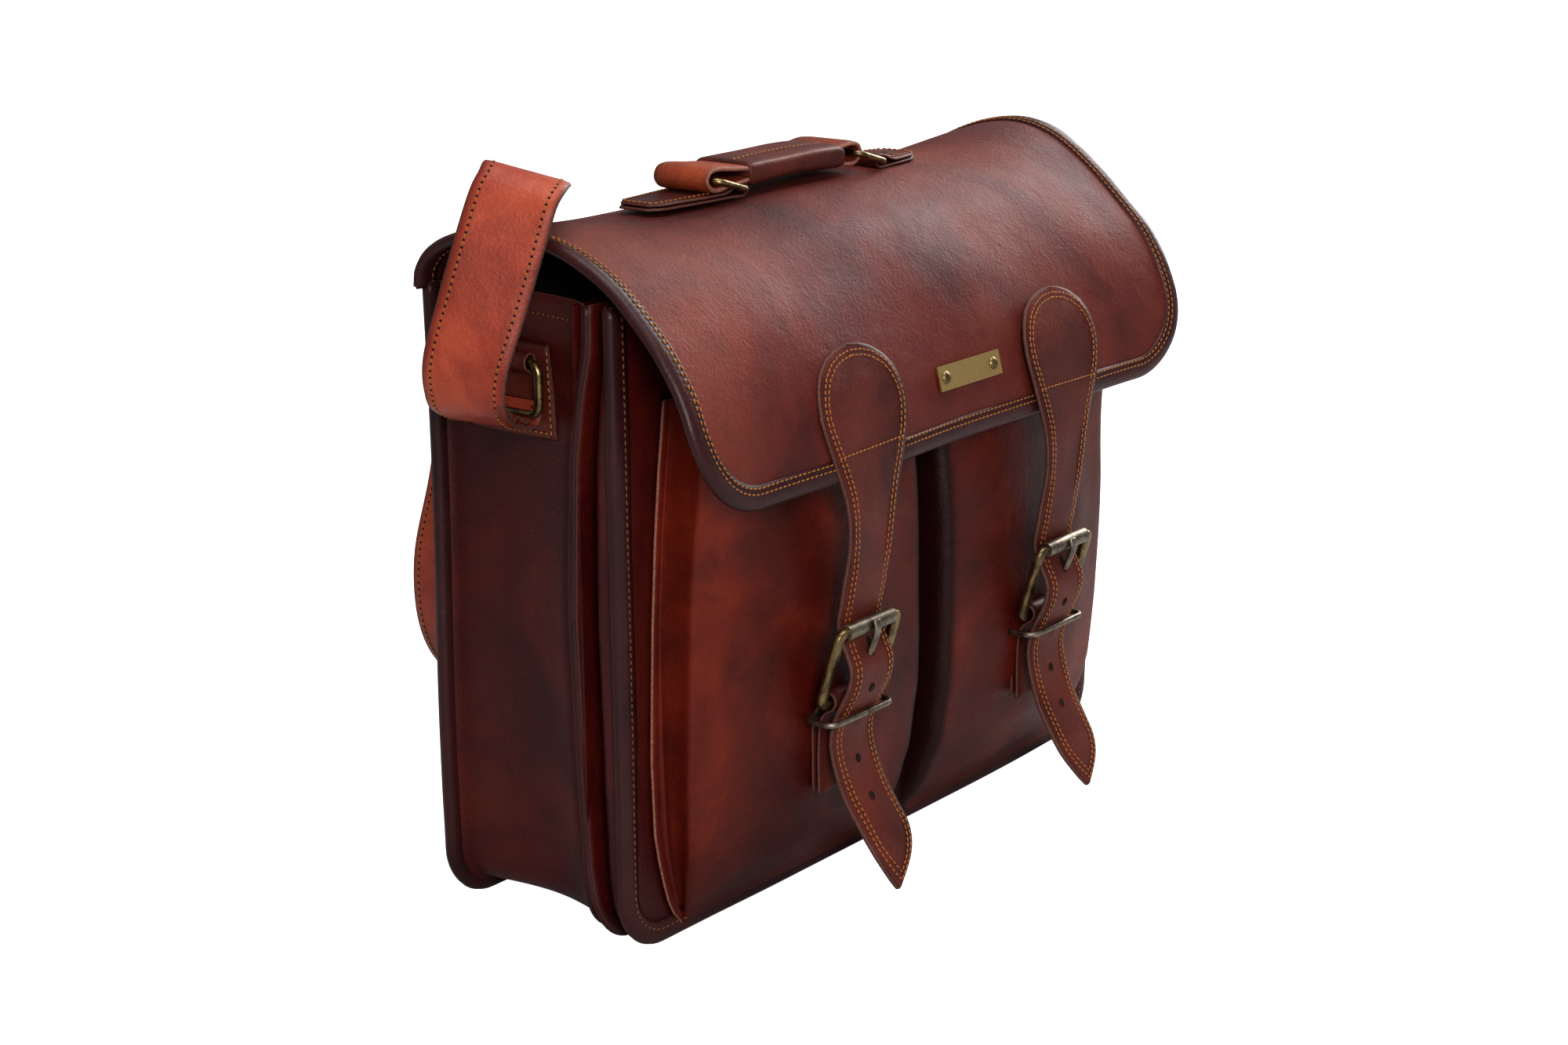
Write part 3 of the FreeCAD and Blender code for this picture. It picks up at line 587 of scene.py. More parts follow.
# ---- pockets
POCKET_Z = [7, 13, 20, 30, 42, 55, 90, 120, 155, 194, 226, 257]
FACE_DEPTH = [0, 2.5, 9, 16, 22, 26, 30.0, 31.0, 31.0, 30.0, 28.5, 27.0]
CREASE_DEPTH = [0, 2.0, 5.5, 9.0, 12.5, 14.5, 17.0, 18.5, 20.5, 22.0, 23.5, 25.0]
CREASE_X = [160, 160, 163.5, 167, 169.5, 171, 172.5, 173, 173, 172, 171, 170]
RAW_X = [161, 166.5, 170, 173, 176, 178.5, 180, 179, 177.5, 174.5, 171, 166.5]
PANEL_FACE = -57.2


def pocket(side):
    """Box pocket: a sewn flange, a side wall up to a sharp crease, a swelling face, a soft inner side."""
    zs = np.concatenate([np.linspace(6.5, 40, 26, endpoint=False), np.linspace(40, 257, 80)])
    rows = []
    for z in zs:
        d, dc, xc, xr = [float(np.interp(z, POCKET_Z, v))
                         for v in (FACE_DEPTH, CREASE_DEPTH, CREASE_X, RAW_X)]
        k = min(1.0, dc / 9.0)
        base = min(xr - 5.2, xc - 0.5)
        sec = [(xr, 0.0), (xr - 1.6, 0.0), (xr - 3.2, 0.0), (base + 0.6, 0.25 * k), (base, 1.4 * k)]
        for t in (0.2, 0.4, 0.6, 0.8, 0.93):
            belly = 1.3 * math.sin(math.pi * t) * k
            sec.append((base + (xc - base) * t - belly, 1.4 * k + (dc - 1.4 * k) * t))
        sec += [(xc - 0.3, dc + 0.1), (xc - 1.4 * k, dc + 0.7 * k), (xc - 3.2 * k, dc + 1.2 * k)]
        a, b = xc - 3.2 * k, 17.5
        for u in np.linspace(0, 1, 34)[1:]:
            rise = math.sin(0.5 * math.pi * min(u / 0.62, 1.0)) ** 0.9
            fall = 0.07 * d * smooth01(u, 0.72, 1.0)
            sec.append((a + (b - a) * u, dc + 1.2 * k + (d - dc - 1.2 * k) * rise - fall))
        d_in = d * 0.93
        sec += [(14.4, d_in * 0.975), (12.2, d_in * 0.90), (11.0, d_in * 0.77), (10.4, d_in * 0.45),
                (9.6, d_in * 0.12), (8.2, 0.25 * k), (6.0, 0.0), (4.0, 0.0)]
        rows.append([(side * x, PANEL_FACE - y, z) for x, y in sec])
    P = np.array(rows)
    x, z = P[..., 0], P[..., 2]
    deep = smooth01(PANEL_FACE - P[..., 1], 6, 24)
    low = bump(z, 45, 34)
    wave = 1.1 * np.sin(z / 33.0 + x / 60.0) + 0.6 * np.sin(z / 17.0 - x / 37.0 + side)
    ripple = np.sin(z / 5.2 + x / 45.0 + 2.0 * np.sin(x / 31.0)) * bump(np.abs(x), 60, 50)
    pleat = np.sin(x / 6.5 + z / 60.0) * bump(z, 160, 70) * bump(np.abs(x), 140, 30)
    P[..., 1] += deep * (wave + 0.9 * low * ripple + 0.5 * pleat)
    P = warp(P)
    node = "pocket_" + TAG[side]
    name = node + "_leather"
    N = grid_normals(P) * (-1 if side > 0 else 1)
    verts, faces, rim, edge = grid_shell(P, N, 2.2, 0)
    if side > 0:
        faces = [tuple(f)[::-1] for f in faces]
    # the leather is paler along the crease, more on the left pocket: wear, partly a painted highlight;
    # between the pockets it is darkened by painted shade
    crease_rub_and_highlight = bump(x, side * 160.0, 22.0) * smooth01(deep, 0, 0.6) * (0.75 + 0.25 * np.sin(z / 24.0))
    crease_rub_and_highlight *= 1.0 if side < 0 else 0.4
    # painted shade on the pockets' inner sides, between the pockets; the right pocket is also darker towards
    # the bottom
    dark = 1.7 * (1 - smooth01(np.abs(x), 14.5, 19.0))
    if side > 0:
        dark = np.maximum(dark, 0.5 * (1 - smooth01(z, 20, 130)))
    rim_zeros = np.zeros(len(verts) - 2 * dark.size)
    edge[:2 * dark.size] = np.tile(dark.ravel(), 2)
    rubbed_and_highlight = np.concatenate([crease_rub_and_highlight.ravel(), crease_rub_and_highlight.ravel(), rim_zeros])
    make(name, verts, faces, [M_POCKET, M_RAW], "bag_body", rim, [node], edge, rubbed_and_highlight)
    Q = P + N * 1.15
    seams = [np.s_[-5, 3:12], np.s_[3:, 2], np.s_[2, 2:-2], np.s_[-4, 3:-3], np.s_[:, -2]]
    rows = [(Q[seam], N[seam]) for seam in seams]
    thread_rows(name + "_stitches", rows, "bag_body", 3.3, mats=DIM)


pocket(-1)
pocket(1)


# ---- flap
FLAP_LINE = [(54.9, 300.5), (54.35, 304.0), (53.0, 309.5), (46.0, 316.5), (31.0, 322.6), (12.0, 326.3),
             (-10.0, 326.3), (-35.0, 322.0), (-60.0, 311.5), (-80.0, 293.5), (-92.0, 275.0),
             (-100.0, 255.0), (-105.0, 235.0), (-106.5, 214.0)]
FLAP_HALF, FLAP_R = 205.0, 45.0


def flap_bulge(x, s):
    """How far the flap's leather stands off its profile: raised ends and shallow waves."""
    up = 4.2 * smooth01(np.abs(x), 110, 200) * bump(s, 75, 60)
    up += smooth01(x, 95, 205) * bump(s, 75, 42) * 7.5
    up += bump(x, -205, 55) * bump(s, 195, 38) * 5.0
    up -= bump(x, 205, 60) * bump(s, 135, 30) * 3.0
    up += 1.6 * np.sin(x / 55.0 + s / 70.0) * smooth01(s, 20, 60)
    up += 0.9 * np.sin(x / 23.0 - s / 31.0) * smooth01(s, 60, 120)
    up -= 2.2 * bump(x, -10, 60) * bump(s, 170, 40)
    return up * smooth01(s, 0, 30)


# The leather turns over between its seam on the back panel and the top of the bend.
FOLD = ("bag_body", "flap", (0.0, 54.8, 306.0), (0.0, 44.0, 306.0))
flap = Ribbon([(0, y, z) for y, z in FLAP_LINE], (1, 0, 0), 500, flap_bulge)
# +1 where the ribbon's normal points out of the bag
FLAP_UP = 1.0 if flap.normal(np.array(0.0), np.array(90.0))[2] > 0 else -1.0
FLAP_LEN = flap.length


def flap_at(x, s, h=0.0):
    """Points h above the flap's middle surface, and the outward normals there."""
    base = flap.at(x, s)
    n = flap.normal(np.asarray(x, float), np.asarray(s, float)) * FLAP_UP
    return base + n * np.asarray(h)[..., None], n


SHEET_INSET = 1.5


def flap_half(s):
    """Half width of the flap's leather at length s."""
    w, r, d = FLAP_HALF - SHEET_INSET, FLAP_R - SHEET_INSET, FLAP_LEN - SHEET_INSET - s
    if d >= r:
        return w
    return w - r + math.sqrt(max(r * r - (r - d) ** 2, 0.0))


def flap_sheet():
    end = FLAP_LEN - SHEET_INSET
    a = np.linspace(0.2, end - FLAP_R, 70, endpoint=False)
    t = np.linspace(0, math.pi / 2, 22)
    s = np.concatenate([a, end - FLAP_R + FLAP_R * np.sin(t)])
    S, X = np.meshgrid(s, np.linspace(-1, 1, 110), indexing="ij")
    H = np.array([flap_half(v) for v in s])[:, None]
    P, N = flap_at(X * H, S)
    verts, faces, rim, edge = grid_shell(P, N, 2.4, 0)
    if FLAP_UP < 0:
        faces = [tuple(f)[::-1] for f in faces]
    make("flap_leather", verts, faces, [M_FLAP, M_RAW_DARK], FOLD, rim, ["flap"], edge)


flap_sheet()


FLAP_START, EDGE_SIDE, EDGE_ARC, EDGE_LOW = 1.0, 90, 26, 110


def flap_edge(inset):
    """Path round the flap's free edge, drawn in by inset: x, s and the inward direction."""
    w, r, end = FLAP_HALF - inset, FLAP_R - inset, FLAP_LEN - inset
    rows = [(-w, s, 1, 0) for s in np.linspace(FLAP_START, end - r, EDGE_SIDE, endpoint=False)]
    rows += [(-w + r - r * math.cos(a), end - r + r * math.sin(a), math.cos(a), -math.sin(a))
             for a in np.linspace(0, math.pi / 2, EDGE_ARC, endpoint=False)]
    rows += [(x, end, 0, -1) for x in np.linspace(-w + r, w - r, EDGE_LOW, endpoint=False)]
    rows += [(w - r + r * math.cos(a), end - r + r * math.sin(a), -math.cos(a), -math.sin(a))
             for a in np.linspace(math.pi / 2, 0, EDGE_ARC, endpoint=False)]
    rows += [(w, s, -1, 0) for s in np.linspace(end - r, FLAP_START, EDGE_SIDE)]
    return np.array(rows)


def flap_roll():
    """Rounded binding along the flap's free edge, with two sewn rows outside and one inside."""
    path = flap_edge(0.0)
    sec = [(11.4, 1.7), (9.0, 2.2), (5.0, 2.9), (2.0, 2.6), (0.4, 1.4), (0.0, 0.0), (0.4, -1.4),
           (2.0, -2.6), (5.0, -2.9), (9.0, -2.4), (11.4, -1.9), (11.0, 0)]
    i = np.arange(len(path))
    wob = 0.35 * np.sin(i * 0.19) + 0.3 * np.sin(i * 0.057 + 1)
    P = []
    for a, h in sec:
        k = a + (wob if a > 3 else 0)
        p, _ = flap_at(path[:, 0] + path[:, 2] * k, path[:, 1] + path[:, 3] * k, np.full(len(path), h))
        P.append(p)
    P = np.array(P).transpose(1, 0, 2)
    tube("flap_edge_roll", P, [M_BIND], FOLD, False, ["flap_binding"], FLAP_UP > 0)
    rows = []
    for inset, h in ((7.6, 2.55), (10.2, 2.15), (8.6, -2.55)):
        path = flap_edge(inset)
        p, nrm = flap_at(path[:, 0], path[:, 1], np.full(len(path), h))
        rows.append((p, nrm if h > 0 else -nrm))
    thread_rows("flap_stitches", rows, FOLD, 3.2)


flap_roll()


# ---- flap straps
# y and z of a flap strap's middle line, from its head to its tail
STRAP_LINE = [(-97.0, 273.0), (-104.4, 255.0), (-109.3, 235.0), (-111.2, 214.0), (-111.5, 195.0),
              (-110.0, 175.0), (-107.5, 158.0), (-105.2, 144.0), (-108.5, 134.0), (-112.8, 124.0),
              (-111.5, 114.0), (-107.3, 105.0), (-103.2, 96.0), (-101.2, 85.0), (-103.0, 72.0),
              (-107.5, 58.0), (-116.0, 42.0), (-124.0, 28.0), (-128.0, 16.0)]
STRAP_X = 85.0  # of both straps' middle lines, and of the buckles
TIP, TAIL_HALF, PRONG_HOLE_Z, HOLE_STEP = 26.0, 15.9, 131.5, 20.0
HEAD_S = [0, 1.2, 4, 9, 15, 22, 29, 36, 44, 52, 60, 68, 78, 90, 104]
HEAD_W = [0.5, 9.5, 17, 24.0, 28.6, 31.4, 32.3, 31.4, 29.0, 26.0, 22.8, 20.0, 17.8, 16.8, 16.4]


def strap_half(s, length):
    """Half width: a lobed head, a straight strap and a pointed arch at the tail's end."""
    d = max(length - s, 0.0)
    if d < TIP:
        return TAIL_HALF * (1 - ((TIP - d) / TIP) ** 2.0) + 0.5
    return float(np.interp(s, HEAD_S, HEAD_W))


def strap_lean(s, length, amount):
    """How far the tail's end leans sideways: its tip is cut lopsided."""
    d = np.maximum(length - np.asarray(s, float), 0.0)
    return -amount * np.clip((TIP - d) / TIP, 0, 1) ** 1.6


def strap_outline(length, inset):
    """Offset outline (x, s) of a flap strap."""
    head, tail = np.linspace(0, 1, 60) ** 2 * 20, length - TIP * np.linspace(1, 0, 60) ** 1.5
    s = np.concatenate([head, np.linspace(20, length - TIP, 500), tail])
    w = np.array([strap_half(v, length) for v in s])
    loop = np.vstack([np.stack([w, s], 1), np.stack([-w, s], 1)[::-1]])
    t = unit(np.roll(loop, -2, 0) - np.roll(loop, 2, 0))
    inwards = np.stack([-t[:, 1], t[:, 0]], 1) * inset
    inner = loop + inwards
    if np.abs(inner[len(s) // 2, 0]) > w[len(s) // 2]:
        inner = loop - inwards
    keep = [i for i, p in enumerate(inner) if np.min(np.hypot(*(loop - p).T)) > inset * 0.97]
    return inner[keep]


def punched_holes(name, rib, up):
    """Holes as dark discs of painted shade with a pressed rim; the prong comes out of the first, drawn out
    to a slot.
    """
    ang = np.linspace(0, 2 * math.pi, 16, endpoint=False)
    first = float(rib.s[np.argmin(np.abs(rib.c[:, 2] - PRONG_HOLE_Z))])
    verts, faces, base = [], [], 0
    for k in range(5):
        s0, along = first + HOLE_STEP * k, 2.4 if k == 0 else 1.15
        for r, h in ((2.0, 1.60), (1.7, 1.86), (1.35, 1.62)):
            x, s = r * np.cos(ang) * 0.85, s0 + r * np.sin(ang) * along
            verts.append(rib.at(x, s) + rib.normal(x, s) * up * h)
        for q in range(2):
            a, b = base + q * 16, base + (q + 1) * 16
            faces += [(a + i, a + (i + 1) % 16, b + (i + 1) % 16, b + i) for i in range(16)]
        faces.append(tuple(base + 32 + i for i in range(16)))
        faces.append(tuple(base + i for i in range(16))[::-1])
        base += 48
    make(name + "_holes", np.vstack(verts), faces, [M_HOLE_SHADE], "flap")


def flap_strap(side, drift, tip_lean):
    """One flap strap with its stitches and holes; drift moves its tail and waves it sideways."""
    x0 = STRAP_X * side
    line = []
    for y, z in STRAP_LINE:
        k = smooth01(100 - z, 0, 90)
        line.append((x0 + drift[0] * k + drift[1] * math.sin((273 - z) / 60.0), y, z))
    rib = Ribbon(line, (1, 0, 0), 500)
    up = 1.0 if rib.normal(np.array(0.0), np.array(80.0))[1] < 0 else -1.0
    L = rib.length
    t = np.linspace(0, 1, 26)
    svals = np.concatenate([20 * t ** 2, np.linspace(20, L - TIP, 150)[1:-1], L - TIP * t[::-1] ** 1.5])
    name = "strap_" + TAG[side]
    S, X = np.meshgrid(svals, np.linspace(-1, 1, 15), indexing="ij")
    H = np.array([strap_half(s, L) for s in svals])[:, None]
    curl = -0.9 * (np.abs(X) ** 3) * smooth01(S, 90, 110)
    side_x = X * H + strap_lean(S, L, tip_lean)
    P = rib.at(side_x, S)
    N = rib.normal(side_x, S) * up
    P = P + N * (curl + 0.25 * np.sin(S / 9.0 + X * 2.0))[..., None]
    verts, faces, rim, edge = grid_shell(P, N, 3.0, 1)
    if up < 0:
        faces = [tuple(f)[::-1] for f in faces]
    make(name, verts, faces, [M_STRAP, M_RAW_DARK], "flap", rim, ["flap_" + name], edge)
    rows = []
    for inset in (2.8, 5.4):
        path = strap_outline(L, inset)
        x, s = path[:, 0], path[:, 1]
        n = rib.normal(x, s) * up
        out = np.abs(x / np.array([strap_half(v, L) for v in s]))
        h = 1.55 - 0.9 * out ** 3 * smooth01(s, 90, 110)
        p = rib.at(x + strap_lean(s, L, tip_lean), s) + n * h[:, None]
        rows.append((p, n))
    x = np.linspace(-25.5, 25.5, 40)
    s = np.full(40, 48.0)
    n = rib.normal(x, s) * up
    rows.append((rib.at(x, s) + n * 1.55, n))
    thread_rows(name + "_stitches", rows, "flap", 3.0)
    punched_holes(name, rib, up)


flap_strap(-1, (12.0, 2.0), 9.0)
flap_strap(1, (3.0, -1.5), 4.0)


# ---- chapes
CHAPE_LOOP = [(-90.4, 61), (-90.2, 80), (-90.6, 96), (-94.5, 105.0), (-98.0, 110.8), (-102.2, 110.2),
              (-103.6, 106.4), (-101.4, 102.9), (-97.4, 100.4), (-94.6, 95), (-93.6, 80), (-93.8, 60)]


def chape(side):
    """Leather folded round a buckle's heel bar."""
    rib = Ribbon([(STRAP_X * side, y, z) for y, z in CHAPE_LOOP], (1, 0, 0), 160)
    node = "chape_" + TAG[side]
    S = np.linspace(0, rib.length, 80)
    ribbon_mesh(node + "_leather", rib, S, lambda s: 16.0, 1.9, [M_STRAP, M_RAW_DARK], "bag_body",
                replaces=[node])


chape(-1)
chape(1)


# ---- buckles
LEAN, HEEL = math.radians(17.0), (-100.0, 107.0)


def buckle_xyz(x0, x, u, h):
    """A point on a leaning buckle: x along the bars, u up the frame, h out of it."""
    y = HEEL[0] - math.sin(LEAN) * u - math.cos(LEAN) * h
    z = HEEL[1] + math.cos(LEAN) * u - math.sin(LEAN) * h
    return np.stack([x0 + x, y, z], -1)


def rounded(c, power):
    """A sine or cosine drawn out, so that the circle it belongs to becomes squarish."""
    return math.copysign(abs(c) ** power, c)


def buckle(side):
    """A buckle's frame and its prong."""
    x0, tag = STRAP_X * side, TAG[side]
    w, low, high, r = 22.4, -0.4, 37.8, 4.0   # half width, lower and upper bar, corner radius
    path = []
    corners = (w - r, high - r, 0), (-w + r, high - r, 90), (-w + r, low + r, 180), (w - r, low + r, 270)
    for cx, cu, a0 in corners:
        for a in np.linspace(0, 90, 10):
            q = math.radians(a0 + a)
            path.append((cx + r * math.cos(q), cu + r * math.sin(q)))
    path = np.array(path)
    path = resample(np.vstack([path, path[:1]])[:, :2] @ np.eye(2, 3), 121)[:-1, :2]
    t = unit(np.roll(path, -1, 0) - np.roll(path, 1, 0))
    n = np.stack([t[:, 1], -t[:, 0]], 1)
    side_bar = np.abs(n[:, 0])
    P = []
    for a in np.linspace(0, 2 * math.pi, 16, endpoint=False):
        p2 = path + n * (rounded(math.cos(a), 0.5) * (2.1 + 1.1 * side_bar))[:, None]
        h = rounded(math.sin(a), 0.5) * (2.1 - 0.35 * side_bar)
        P.append(buckle_xyz(x0, p2[:, 0], p2[:, 1], h))
    P = np.array(P).transpose(1, 0, 2)
    tube("buckle_%s_frame" % tag, P, [M_BRASS], "buckle_frame_" + tag, True,
         ["buckle_frame_" + tag])
    # prong: flat strip from the heel bar to the roller, its tip curled over
    rib = spline([(0, 2.6, -1.0), (0, -2.2, -2.4), (0, -2.6, 1.5), (0, 1.0, 3.6), (0, 12, 4.4), (0, 24, 4.8),
                  (0, 33, 5.6), (0, 38.5, 5.3), (0, 41.8, 3.2)], 60)
    P = []
    for i in range(len(rib)):
        tv = unit(rib[min(i + 1, 59)] - rib[max(i - 1, 0)])
        nv = np.array([0, -tv[2], tv[1]])
        ww = 1.9 * (1.25 if 40 < i < 60 else 1.0)
        ring = [(ww * rounded(math.cos(a), 0.5), rounded(math.sin(a), 0.7) * 1.05)
                for a in np.linspace(0, 2 * math.pi, 12, endpoint=False)]
        P.append([(sx, rib[i][1] + nv[1] * q, rib[i][2] + nv[2] * q) for sx, q in ring])
    P = np.array(P)
    P = buckle_xyz(x0, P[..., 0], P[..., 1], P[..., 2])
    tube("buckle_%s_prong" % tag, P, [M_PEWTER], "buckle_prong_" + tag, False,
         ["buckle_prong_" + tag], True)


buckle(-1)
buckle(1)

# ---- shoulder strap
SHOULDER = [
    (-194.6, 9, 262, 0, 1, 0), (-194.6, 9, 251, 0, 1, 0), (-196.0, 9, 246.0, 0, 1, 0),
    (-200.5, 9, 244.6, 0, 1, 0), (-208, 8.5, 246.5, -0.04, 1, 0), (-220, 5.5, 251, -0.12, 1, 0),
    (-231, 0.5, 260, -0.22, 0.97, 0), (-235, -4, 278, -0.36, 0.93, 0), (-228, -9, 305, -0.50, 0.85, 0),
    (-219, -13, 333, -0.50, 0.85, 0.1), (-212, -14, 349, -0.40, 0.9, 0.22),
    (-203, -12, 356.0, -0.32, 0.92, 0.28), (-193, -5, 356.5, -0.38, 0.9, 0.22),
    (-180, 9, 351, -0.55, 0.8, 0.08), (-166, 26, 343, -0.8, 0.6, 0),
    (-150, 45, 332, -0.9, 0.4, 0), (-137, 66, 314, -0.9, 0.4, 0),
    (-135, 76, 280, -0.6, 0.8, 0), (-144, 77, 240, -0.3, 0.95, 0), (-158, 77, 200, 0, 1, 0),
    (-171, 77, 160, 0, 1, 0), (-169, 77, 124, 0, 1, 0), (-152, 77, 98, 0, 1, 0),
    (-118, 77, 80, 0, 1, 0), (-60, 77, 69, 0, 1, 0), (0, 77, 66, 0, 1, 0),
    (60, 77, 69, 0, 1, 0), (118, 77, 80, 0, 1, 0), (148, 77, 98, 0, 1, 0),
    (163, 77, 125, 0, 1, 0), (170, 77, 160, 0, 1, 0), (176, 78, 200, 0, 1, 0.1),
    (186, 79, 240, 0, 0.95, 0.3), (199, 78, 270, 0, 0.8, 0.6), (213, 68, 288, 0, 0.5, 0.9),
    (223, 50, 295, 0, 0.3, 0.95), (229, 31, 291, 0, 0.6, 0.8), (233, 18, 276, 0, 0.9, 0.3),
    (229, 12, 260, 0, 1, 0), (219, 9.5, 251, 0, 1, 0), (208, 9, 246.5, 0, 1, 0),
    (200.5, 9, 244.6, 0, 1, 0), (196.0, 9, 246.0, 0, 1, 0), (194.6, 9, 251, 0, 1, 0),
    (194.6, 9, 262, 0, 1, 0)]


def rows_between(rib, s0, s1, lift):
    """Centre line of a layer that lies on the ring's side of a strap, slightly rumpled."""
    s = np.linspace(s0, s1, 16)
    n = rib.normal(np.zeros(16), s)
    inside = 1.0 if np.mean(n[:, 2]) > 0 else -1.0
    return rib.at(np.zeros(16), s) + n * inside * (lift + 0.5 * np.sin(s / 2.3))[:, None]


def shoulder_strap():
    rows = np.array(SHOULDER, float)
    rib = Ribbon(rows[:, :3], rows[:, 3:], 1400)
    S = np.linspace(0, rib.length, 620)
    ribbon_mesh("shoulder_strap_leather", rib, S, lambda s: 19.0, 3.0, [M_TAN, M_RAW_DARK], "bag_body",
                13, ["shoulder_strap"])
    rows = []
    s = np.linspace(6, rib.length - 6, 1300)
    for x in (np.full(len(s), -15.2), np.full(len(s), 15.2)):
        for face in (1, -1):
            n = rib.normal(x, s) * face
            rows.append((rib.at(x, s) + n * 1.5, n))
    thread_rows("shoulder_strap_stitches", rows, "bag_body", 3.3, 2.1, hole_size=1.45)
    # each end is folded back on itself after it has gone round the ring
    for tag, s0, s1 in (("left", 21.0, 62.0), ("right", rib.length - 62.0, rib.length - 21.0)):
        inner = Ribbon(rows_between(rib, s0, s1, 3.1), (0, 1, 0), 120)
        S = np.linspace(0, inner.length, 50)
        ribbon_mesh("shoulder_fold_" + tag, inner, S, lambda s: 18.2 + 0.5 * math.sin(s / 3.1), 2.4,
                    [M_TAN, M_RAW_DARK], "bag_body")


shoulder_strap()


# ---- ring patches
RING_LOOP = [(194.0, 262), (194.4, 270), (196.2, 276.6), (199.4, 277.6), (202.2, 275.2), (201.6, 271.4),
             (197.6, 268.4), (195.8, 262), (195.6, 256)]


def ring_patch(side):
    """A patch sewn on the gusset, and the leather loop that holds the side ring on it."""
    name = "ring_patch_" + TAG[side]
    P = np.array([[(side * 192.2, 9 + (27 - 5 * k) * u, 238 + 43 * k) for u in np.linspace(-1, 1, 24)]
                  for k in np.linspace(0, 1, 24)])
    P[..., 0] += side * 0.4 * np.sin(P[..., 1] / 9.0)
    sheet(name + "_leather", P, 2.0, [M_STRAP, M_RAW_DARK], "bag_body", side < 0, [name])
    rows = []
    for seam in ([(-13.5, 279), (-15.2, 241), (33.2, 241), (31.5, 279)], [(-10, 262), (28, 262)],
                 [(-10.6, 257), (28.6, 257)]):
        line = resample(np.array([(side * 193.35, y, z) for y, z in seam]), 60)
        rows.append((line, np.tile([float(side), 0.0, 0.0], (60, 1))))
    thread_rows(name + "_stitches", rows, "bag_body", 3.2)
    rib = Ribbon([(side * x, 9, z) for x, z in RING_LOOP], (0, 1, 0), 120)
    S = np.linspace(0, rib.length, 50)
    ribbon_mesh("ring_loop_" + TAG[side], rib, S, lambda s: 17.5, 1.5, [M_STRAP, M_RAW_DARK], "bag_body")


ring_patch(-1)
ring_patch(1)


# ---- handle
HY, TAB_Z, TOP_Z = 3.0, 332.5, 339.0  # middle along y, lower and upper bars of the rings
TAB_X, RING_RUN = (-52.0, 60.0), -22.0  # lower bars; run from a lower to an upper bar
WRAP_A, WRAP_B, WRAP_SEAM_Y = -47.0, 27.0, -0.896322538


def handle():
    """The handle's two ends, folded round the rings' upper bars, and the wrap sewn over them."""
    for side, bar_x, reach in ((-1, TAB_X[0] + RING_RUN, 27.0), (1, TAB_X[1] + RING_RUN, 22.0)):
        loop = [(-reach, -2.6), (-13, -3.9), (-5, -4.9), (1, -4.2), (4.6, -0.2), (2.4, 4.0), (-4, 5.0),
                (-13, 4.0), (-reach, 2.6)]
        rib = Ribbon([(bar_x + side * u, HY, TOP_Z + h) for u, h in loop], (0, 1, 0), 200)
        S = np.linspace(0, rib.length, 90)
        ribbon_mesh("handle_%s_fold" % TAG[side], rib, S, lambda s: 16.0, 2.8, [M_FOLD, M_RAW], "handle",
                    replaces=["handle_strap"] if side < 0 else ())
    xs = np.linspace(WRAP_A - 0.5, WRAP_B + 0.5, 40)
    span = xs[-1] - xs[0]
    P = []
    for i, x in enumerate(xs):
        arch = math.sin(math.pi * ((x - xs[0]) / span))
        ring = []
        for q in np.linspace(0, 2 * math.pi, 40, endpoint=False):
            tall = (5.4 if math.sin(q) > 0 else 6.2) * (0.82 if i in (0, 39) else 1)
            ring.append((x + 0.5 * math.sin(q * 2), HY + rounded(math.cos(q), 0.35) * 17.6,
                         TOP_Z + arch + rounded(math.sin(q), 0.45) * tall))
        P.append(ring)
    P = np.array(P)
    P[..., 2] += 0.35 * np.sin(P[..., 0] / 11.0) * np.sign(P[..., 2] - TOP_Z)
    tube("handle_wrap_leather", P, [M_STRAP], "handle", False, ["handle_wrap"], True)
    x = np.linspace(WRAP_A + 2, WRAP_B - 2, 60)
    top = TOP_Z + 5.5 + np.sin(math.pi * (x - xs[0]) / span)
    seam = np.stack([x, np.full(60, WRAP_SEAM_Y), top], 1)
    thread_rows("handle_stitches", [(seam, np.tile([0, 0, 1.0], (60, 1)))], "handle", 3.2)


handle()


def handle_tab(side, bar_x, reach):
    """A tab on the flap, folded round a ring's lower bar and sewn down."""
    loop = [(reach, -3.0), (16, -2.8), (4, -3.2), (-1.2, -3.0), (-3.2, -0.2), (-1.2, 2.8), (4, 2.2),
            (12, -0.4), (22, -0.8), (reach - 1, -1.0)]
    rib = Ribbon([(bar_x + side * u, HY, TAB_Z + h) for u, h in loop], (0, 1, 0), 200)

    def half(s):
        end = min(s, rib.length - s)
        return 16.0 - 3.5 * smooth01(reach - end, 0.3 * reach, reach) - 4.0 * bump(end, 0, 4.0)

    S = np.linspace(0, rib.length, 90)
    ribbon_mesh("tab_%s_leather" % TAG[side], rib, S, half, 1.8, [M_STRAP, M_RAW_DARK], "flap",
                replaces=["handle_tab_" + TAG[side]])
    seam = [(14, -13, 0.3), (reach - 4, -10, 0), (reach - 2, -7, 0), (reach - 2, 7, 0),
            (reach - 4, 10, 0), (14, 13, 0.3), (14, -13, 0.3)]
    line = resample(np.array([(bar_x + side * u, HY + y, TAB_Z + h) for u, y, h in seam]), 90)
    thread_rows("tab_%s_stitches" % TAG[side], [(line, np.tile([0, 0, 1.0], (90, 1)))], "flap",
                3.1)


handle_tab(-1, TAB_X[0], 61.0)
handle_tab(1, TAB_X[1], 39.0)

